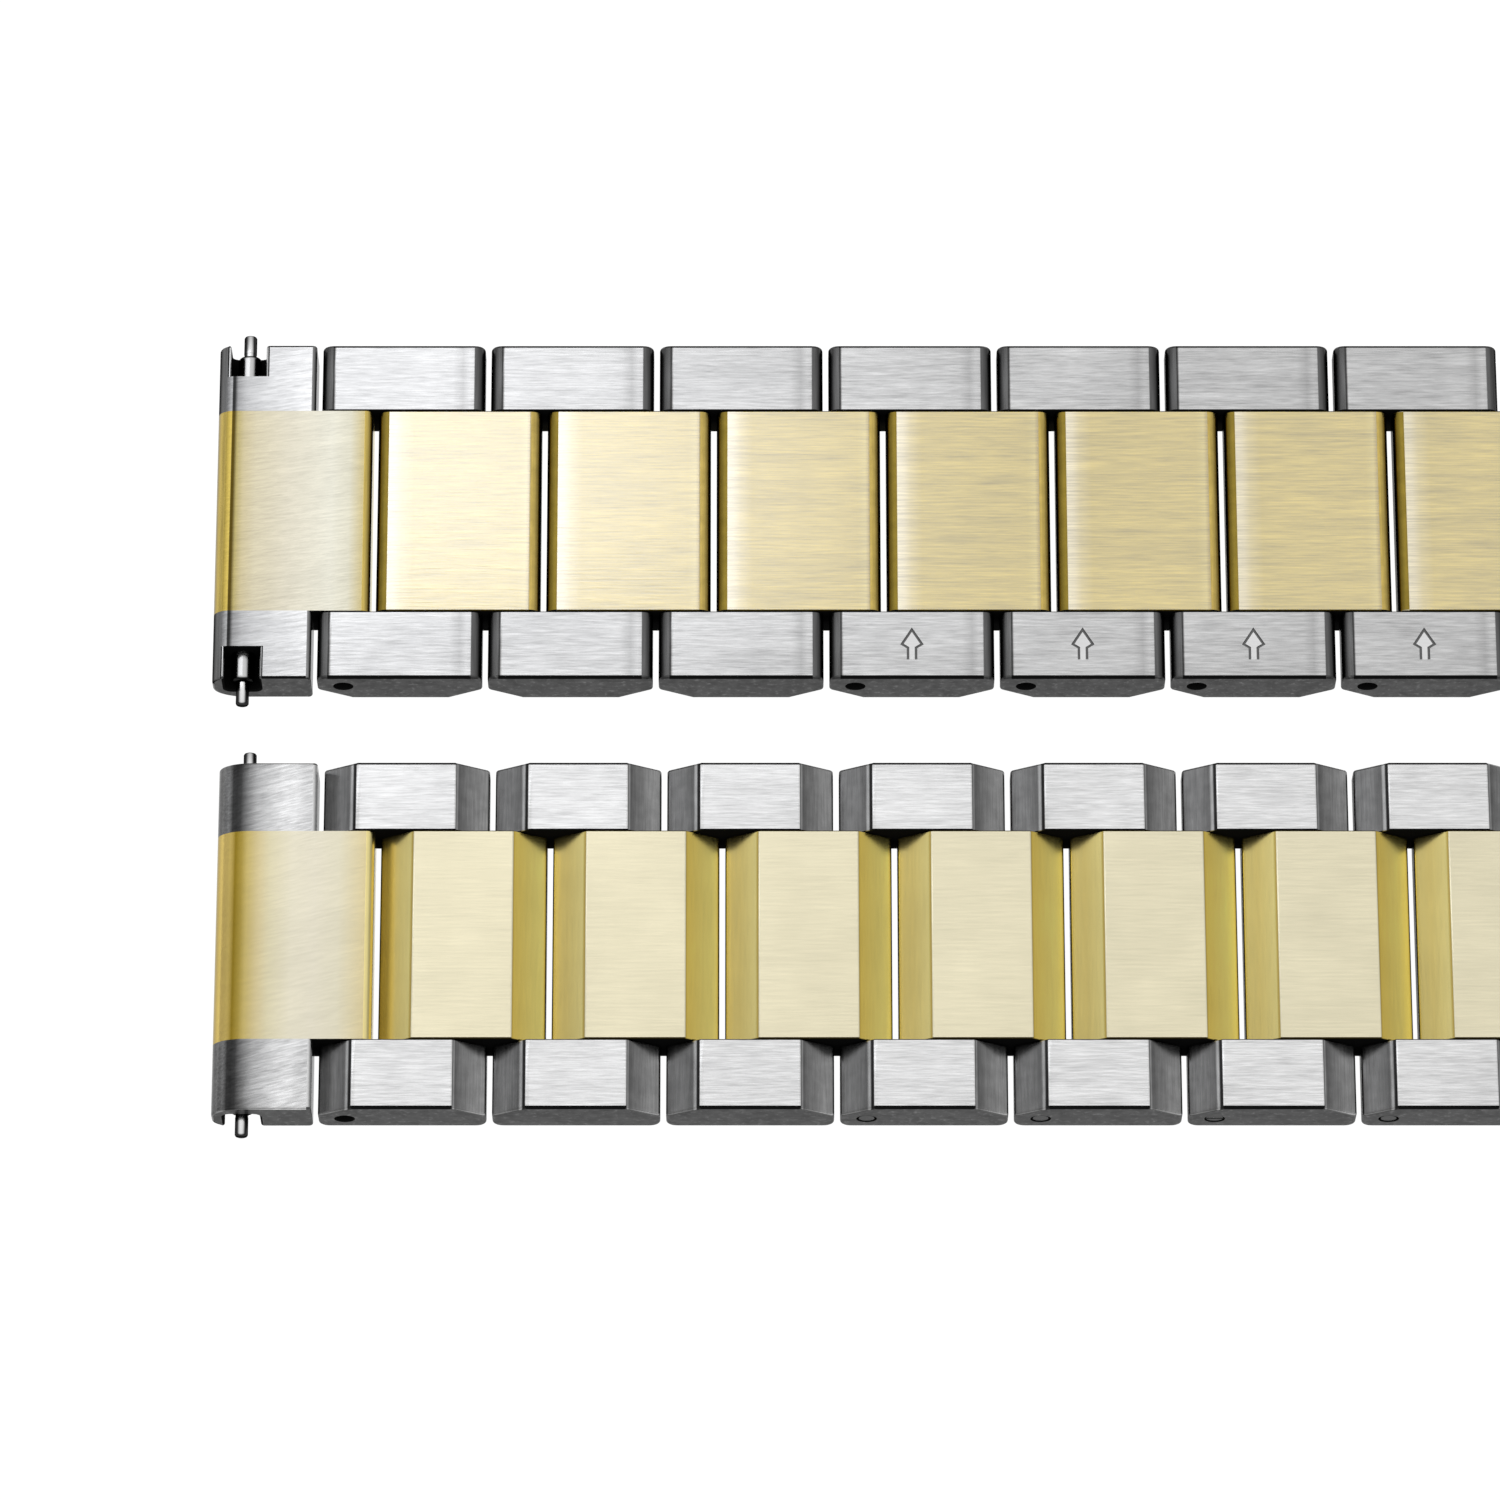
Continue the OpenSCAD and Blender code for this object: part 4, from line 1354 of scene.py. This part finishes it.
@dataclass(frozen=True)
class EndLink:
    """The one-piece link at the case, with its tongue, tool notches and plated middle band."""

    place: HalfPlace
    left: float = CASE_END_X
    right: float = 3.80
    tongue: float = 6.98
    thickness: float = 2.9
    roll_run: float = 1.85
    roll_drop: float = 1.3
    bottom_r: float = 0.9
    tongue_r: float = 0.45
    corner_r: float = 0.25
    notch_x: float = 0.98
    notch_h: float = 1.95
    notch_r: float = 0.4
    mouth_r: float = 0.18
    notch_y: float = 8.1
    band_y: float = CENTRE_Y
    flank_y: float = FLANK_Y
    rim: float = 0.12
    bar_z: float = BAR_Z
    bar_hole_r: float = 0.67
    bar_hole_sides: int = 48
    hinge: Pair = (BAR_TO_HINGE, HINGE_Z)
    hinge_hole_r: float = HINGE_HOLE_R
    hinge_reach: float = 8.0
    hinge_hole_sides: int = 40
    overrun: float = 1.0
    arc_points: int = 9
    roll_points: int = 17

    def notch_line(self, notch: bool, steps: int = 4) -> Outline:
        """The stretch of the underside that holds the notch, from one side of its mouth to the other.

        Its left half is the mouth's arc, the upright wall and the inner corner's arc, and its right half
        mirrors them in x. No point lies below the underside, which rises by r - sqrt(r*r - d*d) in the
        bottom left fillet, at the distance d past its start. A section without the notch has all these
        points on the underside.

        Args:
            notch: whether the notch is open here.
            steps: points on the mouth's arc, and on the wall.

        Returns:
            The stretch.
        """
        rise = np.linspace(0, 1, steps + 1)[:-1]
        inner_x, inner_z = self.notch_x - self.notch_r, self.notch_h - self.notch_r
        mouth = Outline.arc(
            (-self.notch_x - self.mouth_r, self.mouth_r), (self.mouth_r, self.mouth_r), (rise - 1) * pi / 2,
            Zone.BEVEL, Zone.BEVEL,
        )
        wall = np.c_[np.full(steps, -self.notch_x), self.mouth_r + rise * (inner_z - self.mouth_r)]
        inner = Outline.arc(
            (-inner_x, inner_z), (self.notch_r, self.notch_r), np.linspace(pi, pi / 2, self.arc_points),
            Zone.SEAM, Zone.SEAM,
        )
        points = np.r_[mouth.points, wall, inner.points]
        points = np.r_[points, (points * [-1, 1])[::-1]]
        past = np.clip(self.left + self.bottom_r - points[:, 0], 0, None)
        underside = self.bottom_r - np.sqrt(self.bottom_r**2 - past**2)
        zones = np.full(len(points), int(Zone.UNDERSIDE))
        if not notch:
            return Outline(np.c_[points[:, 0], underside], np.tile([0.0, -1.0], (len(points), 1)), zones)
        # The notch's inside takes SEAM, painted shade, and the first stretch of each mouth takes EDGE, a
        # painted dark line.
        zones[:-1] = int(Zone.SEAM)
        zones[1:steps] = zones[-steps - 1:-2] = int(Zone.BEVEL)
        zones[0] = zones[-2] = int(Zone.EDGE)
        normals = np.r_[mouth.normals, np.tile([1.0, 0.0], (steps, 1)), -inner.normals]
        normals = np.r_[normals, (normals * [-1, 1])[::-1]]
        return Outline(np.c_[points[:, 0], np.maximum(points[:, 1], underside)], normals, zones)

    def loop(self, tongue: bool, notch: bool) -> Outline:
        """One cross-section, always with the same number of points in the same order.

        It runs from the bottom left fillet along the underside, where the notch's outline takes the place
        of the fillet's end and the straight line, round the right end, over the top and down the rolled
        edge, a quarter ellipse.

        Args:
            tongue: whether the right end is the tongue's.
            notch: whether the notch is open here.

        Returns:
            The section's outline.
        """
        end, end_r = (self.tongue, self.tongue_r) if tongue else (self.right, self.corner_r)
        middle_x, top_z = end - end_r, self.thickness - end_r
        quarter = np.linspace(0, pi / 2, self.arc_points)
        before_mouth = quarter[:-3]
        return Outline.joined([
            Outline.arc(
                (self.left + self.bottom_r, self.bottom_r), (self.bottom_r, self.bottom_r), pi + before_mouth,
                Zone.WALL, Zone.WALL,
            ),
            self.notch_line(notch),
            Outline.arc((middle_x, end_r), (end_r, end_r), quarter - pi / 2, Zone.WALL, Zone.BEVEL),
            Outline.arc((middle_x, top_z), (end_r, end_r), quarter, Zone.BEVEL, Zone.FLAT),
            Outline.arc(
                (self.left + self.roll_run, self.thickness - self.roll_drop), (self.roll_run, self.roll_drop),
                pi / 2 + np.linspace(0, pi / 2, self.roll_points), Zone.FLAT, Zone.FLAT,
            ),
        ])

    def shell(self) -> Shell:
        """The whole link: one skin from flank to flank, with a flat face over each.

        Where the section changes, at the notches' back walls and at the tongue's sides, two rings share
        one y and the skin between them is the upright wall.

        Returns:
            The closed surface. The gold band's zones follow the steel ones.
        """
        plain, notched, tongue = self.loop(False, False), self.loop(False, True), self.loop(True, False)
        near = notched.rim(-self.flank_y, self.rim, 1)
        far = notched.rim(self.flank_y, self.rim, -1)[::-1]
        rings = [
            *near, notched.ring(-self.notch_y),
            plain.ring(-self.notch_y), plain.ring(-self.band_y),
            tongue.ring(-self.band_y), tongue.ring(self.band_y),
            plain.ring(self.band_y), plain.ring(self.notch_y),
            notched.ring(self.notch_y), *far,
        ]
        # The upright walls take SEAM, painted shade, and a rim next to the underside or a seam takes EDGE, a
        # painted dark line.
        wall = np.full(len(plain.zones), int(Zone.SEAM))
        edge = np.where(np.isin(notched.zones, (Zone.UNDERSIDE, Zone.SEAM)), int(Zone.EDGE), notched.zones)
        edges = [np.where(notched.zones == Zone.BEVEL, int(Zone.FLANK), edge)] * (len(near) - 1)
        zones = [
            *edges, notched.zones,
            wall, plain.zones,
            wall, tongue.zones + len(Zone),
            wall, plain.zones,
            wall, notched.zones, *edges,
        ]
        return Shell.skin(rings, np.stack(zones), lidded=True)

    def build(self) -> None:
        """Make the link, bore it for the spring bar and the hinge pin, and hand it in."""
        half = self.place.half.value
        thing = SHOP.piece(f"{half}_end_piece", [self.shell()], self.place, [*STEEL_END, *GOLD_END])
        bores = [
            drill((0.0, self.bar_z), self.bar_hole_r, self.flank_y + self.overrun, self.bar_hole_sides),
            drill(self.hinge, self.hinge_hole_r, self.hinge_reach, self.hinge_hole_sides),
        ]
        SHOP.cut(thing, bores, self.place, Zone.BORE)
        SHOP.chart(thing, self.place, self.left)
        hand_in(thing, f"{half}_end", f"{half}_end_link")


@dataclass(frozen=True)
class SpringBar:
    """A hollow bar with a sprung tip at each end.

    nose gives the pivot's softened end, as pairs of how much narrower and how far short of end_y each
    point is.
    """

    name: str
    place: HalfPlace
    x: float
    z: float
    body: str
    nodes: tuple[str, str, str]
    tip_bodies: tuple[str, str]
    half_l: float = 9.75
    pivot_y: float = 10.01
    end_y: float = 11.1
    tube_r: float = 0.65
    bore_r: float = 0.55
    plunger_r: float = 0.53
    plunger_edge: float = 0.05
    lip_r: float = 0.38
    lip: float = 0.5
    lip_w: float = 0.06
    pivot_r: float = 0.36
    neck_less: float = 0.03
    shoulder_less: float = 0.015
    nose: tuple[Pair, ...] = ((0.0, 0.12), (0.04, 0.05), (0.13, 0.01))
    plunger_l: float = 4.0
    play: float = 0.03
    shoulder_points: int = 8

    def tube(self) -> bpy.types.Object:
        """The tube, turned from a profile whose shoulders fall away in a quarter circle.

        At angle a the shoulder of radius s is at tube_r - s*(1 - sin a), s*(1 - cos a) from the end.

        Returns:
            The tube.
        """
        shoulder = self.tube_r - self.lip_r - self.lip_w
        turn = np.linspace(0, pi / 2, self.shoulder_points)
        radius = self.tube_r - shoulder * (1 - np.sin(turn))
        end = np.r_[[[self.lip_r, -self.half_l]], np.c_[radius, -self.half_l + shoulder * (1 - np.cos(turn))]]
        inside = np.array([(self.bore_r, self.lip - self.half_l), (self.lip_r, self.lip - self.half_l)])
        profile = np.r_[end, (end * [1, -1])[::-1], (inside * [1, -1])[::-1], inside]
        shell = lathe(profile, (self.x, self.z), Zone.FLAT)
        thing = SHOP.piece(f"{self.name}_tube", [shell], self.place, [BAR])
        SHOP.chart(thing, self.place, self.x)
        return thing

    def tip(self, side: Side) -> bpy.types.Object:
        """A tip, turned in one: its plunger, neck and pivot, with a softened end.

        Args:
            side: the side of the bracelet that it comes out of.

        Returns:
            The tip.
        """
        shoulder = self.half_l - self.lip - self.play
        start, edge = shoulder - self.plunger_l, self.plunger_edge
        profile = [
            (0.0, start),
            (self.plunger_r - edge, start),
            (self.plunger_r, start + edge),
            (self.plunger_r, shoulder),
            (self.pivot_r - self.neck_less, shoulder),
            (self.pivot_r - self.shoulder_less, self.pivot_y),
            (self.pivot_r, self.pivot_y),
            *[(self.pivot_r - less, self.end_y - short) for less, short in self.nose],
            (0.0, self.end_y),
        ]
        shell = lathe(profile, (self.x, self.z), Zone.FLAT)
        if self.place.own_side(side) < 0:
            shell = shell.mirrored()
        thing = SHOP.piece(f"{self.name}_pivot_{side.value}", [shell], self.place, [PIN])
        SHOP.chart(thing, self.place, self.x)
        return thing

    def build(self) -> None:
        """Make the tube and both tips and hand them in."""
        hand_in(self.tube(), self.body, self.nodes[0])
        for side, node, body in zip(Side, self.nodes[1:], self.tip_bodies):
            hand_in(self.tip(side), body, node)


@dataclass(frozen=True)
class Clasp:
    """The folding clasp on the six o'clock half: its cover is remade, its blades keep their solids."""

    place: HalfPlace
    hinge_x: float = CLASP_HINGE_X
    cover_x: float = 4.6
    cover_end: float = COVER_END
    low: float = 0.3
    top: float = 3.9
    ceiling: float = 3.1
    wall: float = 0.8
    flank_y: float = FLANK_Y
    nose_r: float = 1.1
    edge_r: float = 0.55
    edge_steps: int = 7
    hole_r: float = 0.45
    hole_z: float = HINGE_Z
    hole_sides: int = 32
    holes: tuple[float, ...] = (29.0, 31.2, 33.4)
    lug: Pair = (6.0, 1.9)
    lug_r: float = 0.9
    lug_round: float = 0.98
    lug_root_r: float = 0.02
    lug_rim: float = 0.05
    lug_y: Pair = (2.3, 5.5)
    pin_r: float = 0.41
    bar_half_l: float = 9.0
    bar_pivot_y: float = 9.01
    bar_end_y: float = 9.88
    hollow_overrun: float = 1.0
    hole_overrun: float = 2.0

    def lugs(self) -> list[Shell]:
        """The two ears under the cover's ceiling that its hinge pin goes through.

        Returns:
            Both ears, round at the bottom by lug_round of their half width.
        """
        x, z = self.hinge_x + self.lug[0], self.lug[1]
        left, right, bottom = x - self.lug_r, x + self.lug_r, z - self.lug_r
        corners = [(left, bottom), (right, bottom), (right, self.ceiling), (left, self.ceiling)]
        round_r = self.lug_r * self.lug_round
        walls = [Zone.WALL] * 4
        outline = Outline.rounded(corners, [round_r, round_r, self.lug_root_r, self.lug_root_r], walls, walls)
        shell = bored_block(outline, *self.lug_y, (self.lug_rim, self.lug_rim), (x, z), self.pin_r)
        return [shell, shell.mirrored()]

    def cover(self) -> bpy.types.Object:
        """The cover: a block with rounded edges, hollowed from below and drilled for the adjusting bar.

        Returns:
            The cover.
        """
        x0, x1 = self.hinge_x + self.cover_x, self.hinge_x + self.cover_end
        corners = [(x0, self.low), (x1, self.low), (x1, self.top), (x0, self.top)]
        radii = [self.nose_r, self.nose_r, self.nose_r / 2, self.nose_r]
        edges = [Zone.WALL, Zone.WALL, Zone.FLAT, Zone.WALL]
        bends = [Zone.WALL, Zone.WALL, Zone.BEVEL, Zone.BEVEL]
        outline = Outline.rounded(corners, radii, edges, bends)
        near = outline.rim(-self.flank_y, self.edge_r, 1, self.edge_steps)
        far = outline.rim(self.flank_y, self.edge_r, -1, self.edge_steps)[::-1]
        rings = [*near, *far]
        shell = Shell.skin(rings, np.stack([outline.zones] * (len(rings) - 1)), lidded=True)
        sides = [COVER_SIDE, COVER_SIDE, BORE_PAINTED_SHADE, COVER_SIDE, COVER_SIDE]
        thing = SHOP.piece("clasp_cover_shell", [shell], self.place, [COVER, COVER, COVER, *sides])
        inner, below = self.flank_y - self.wall, -self.hollow_overrun
        hollow = np.array([(-inner, below), (inner, below), (inner, self.ceiling), (-inner, self.ceiling)])
        tunnel = prism(hollow, x0 - self.hollow_overrun, x1 + self.hollow_overrun, Zone.FLANK, Axis.X)
        reach = self.flank_y + self.hole_overrun
        centres = [(self.hinge_x + x, self.hole_z) for x in self.holes]
        drills = [drill(centre, self.hole_r, reach, self.hole_sides) for centre in centres]
        SHOP.cut(thing, [tunnel], self.place, Zone.FLANK)
        SHOP.cut(thing, drills, self.place, Zone.BORE)
        return thing

    def build(self) -> None:
        """Make the cover, its lugs and the adjusting bar, and give the kept solids their finishes."""
        hand_in(self.cover(), "clasp_cover", "clasp_cover")
        lugs = SHOP.piece("clasp_cover_lugs", self.lugs(), self.place, [BLADE] * len(Zone))
        hand_in(lugs, "clasp_cover", "clasp_cover")
        SpringBar(
            "clasp_bar", self.place, self.hinge_x + self.holes[0], self.hole_z, "clasp_cover",
            ("clasp_adjusting_bar", "clasp_adjusting_tip_near", "clasp_adjusting_tip_far"),
            ("clasp_tip_near", "clasp_tip_far"), self.bar_half_l, self.bar_pivot_y, self.bar_end_y,
        ).build()
        for node in ("clasp_base_blade", "clasp_fold_blade"):
            dress(node, BLADE)
        for node in ("clasp_base_pins", "clasp_cover_pin"):
            dress(node, PLAIN_PIN)


@dataclass(frozen=True)
class Studio:
    """The white floor, the soft dome with its glow, and the camera at the photograph's angle.

    There is no lamp. A direction in the dome is a unit vector: the glow grows as its x runs over glow_left
    and its y over glow_back, and fades as y runs over glow_front the other way.
    """

    target: tuple[float, float, float] = (-24.75, -1.775, 3.0)
    elevation_deg: float = 68.7
    distance: float = 450.0
    focal_px: float = 8221.0
    image_px: float = 1500.0
    sensor: float = 36.0
    clip: Pair = (0.01, 20.0)
    floor_half: float = 3.0
    floor_z: float = -2e-5
    floor_color: Color = grey(0.08)
    floor_roughness: float = 0.9
    floor_glow: float = 1.0
    dome: Tones = ((0.0, grey(0.36)), (0.45, grey(0.5)), (0.8, grey(0.95)), (1.0, grey(1.0)))
    glow_left: Pair = (0.037, -0.045)
    glow_back: Pair = (0.352, 0.391)
    glow_front: Pair = (0.47, 0.39)
    glow_strength: Pair = (1.0, 2.8)
    glow_tint: Color = (0.985, 1.0, 1.035)

    def camera(self) -> None:
        """Place the camera on its ray from the target, with the lens that gives the photograph's scale.

        The lens is focal_px / image_px of the sensor's width, and the eye lies at the target plus
        distance * (0, -cos e, sin e) for the elevation e.
        """
        data = bpy.data.cameras.new("photo camera")
        data.sensor_width = self.sensor
        data.lens = self.focal_px / self.image_px * self.sensor
        data.clip_start, data.clip_end = self.clip
        eye = bpy.data.objects.new("photo camera", data)
        tilt = radians(self.elevation_deg)
        eye.location = (np.array(self.target) + self.distance * np.array([0, -cos(tilt), sin(tilt)])) * MM
        eye.rotation_euler = (pi / 2 - tilt, 0, 0)
        bpy.context.scene.collection.objects.link(eye)
        bpy.context.scene.camera = eye

    def floor(self) -> None:
        """A wide white floor just under the bracelet, which gives its own light and so has no shadow."""
        half, z = self.floor_half, self.floor_z
        corners = [(-half, -half, z), (half, -half, z), (half, half, z), (-half, half, z)]
        mesh = bpy.data.meshes.new("floor")
        mesh.from_pydata(corners, [], [[0, 1, 2, 3]])
        material = bpy.data.materials.new("pale floor")
        material.use_nodes = True
        shader = material.node_tree.nodes["Principled BSDF"]
        shader.inputs["Base Color"].default_value = (*self.floor_color, 1)
        shader.inputs["Roughness"].default_value = self.floor_roughness
        shader.inputs["Specular IOR Level"].default_value = 0.0
        shader.inputs["Emission Color"].default_value = (1, 1, 1, 1)
        shader.inputs["Emission Strength"].default_value = self.floor_glow
        mesh.materials.append(material)
        plane = bpy.data.objects.new("floor", mesh)
        bpy.context.scene.collection.objects.link(plane)

    def sky(self) -> None:
        """A soft dome, bright overhead and grey towards the horizon, with a glow at the left and back.

        The strength is 1, and glow_strength's second value in the glow, where the light is also tinted.
        """
        world = bpy.data.worlds.new("soft dome")
        bpy.context.scene.world = world
        world.use_nodes = True
        wiring = Wiring(world.node_tree.nodes, world.node_tree.links)
        way = wiring.parts(wiring.nodes.new("ShaderNodeTexCoord").outputs["Generated"])
        light = wiring.ramp(way["Z"], self.dome)
        left = wiring.span(way["X"], self.glow_left, (0.0, 1.0), smooth=True)
        back = wiring.span(way["Y"], self.glow_back, (0.0, 1.0), smooth=True)
        front = wiring.span(way["Y"], self.glow_front, (0.0, 1.0), smooth=True)
        glow = wiring.times(left, wiring.times(back, front))
        strength = wiring.span(glow, (0.0, 1.0), self.glow_strength)
        tint = wiring.nodes.new("ShaderNodeMix")
        tint.data_type, tint.blend_type = "RGBA", "MULTIPLY"
        # A mix node's share is input 0, its colours are inputs 6 and 7, and the mixed colour is output 2.
        share, first, second, mixed = *(tint.inputs[number] for number in (0, 6, 7)), tint.outputs[2]
        second.default_value = (*self.glow_tint, 1)
        wiring.links.new(glow, share)
        wiring.links.new(light, first)
        background = wiring.nodes["Background"]
        wiring.links.new(mixed, background.inputs["Color"])
        wiring.links.new(strength, background.inputs["Strength"])

    def build(self) -> None:
        """Set up everything that isn't the bracelet."""
        self.camera()
        self.floor()
        self.sky()
        bpy.context.scene.view_settings.view_transform = "Standard"


@dataclass(frozen=True)
class Strap:
    """One half: its end link, spring bar and rows."""

    half: Half
    rows: int = ROWS

    def build(self) -> None:
        """Make all the half's pieces."""
        name, place = self.half.value, HalfPlace(self.half)
        EndLink(place).build()
        bar = f"{name}_spring_bar"
        SpringBar(
            bar, place, 0.0, BAR_Z, f"{name}_end", (f"{bar}_tube", f"{bar}_tip_near", f"{bar}_tip_far"),
            (f"{name}_tip_near", f"{name}_tip_far"),
        ).build()
        dress(f"{bar}_spring", SPRING)
        for number in range(1, self.rows + 1):
            LinkRow(number, place).build()


def main() -> None:
    """Build the studio, both halves and the clasp."""
    logging.basicConfig(level=logging.INFO, format="%(message)s")
    Studio().build()
    for half in Half:
        Strap(half).build()
    Clasp(HalfPlace(Half.SIX)).build()


if __name__ == "__main__":
    main()
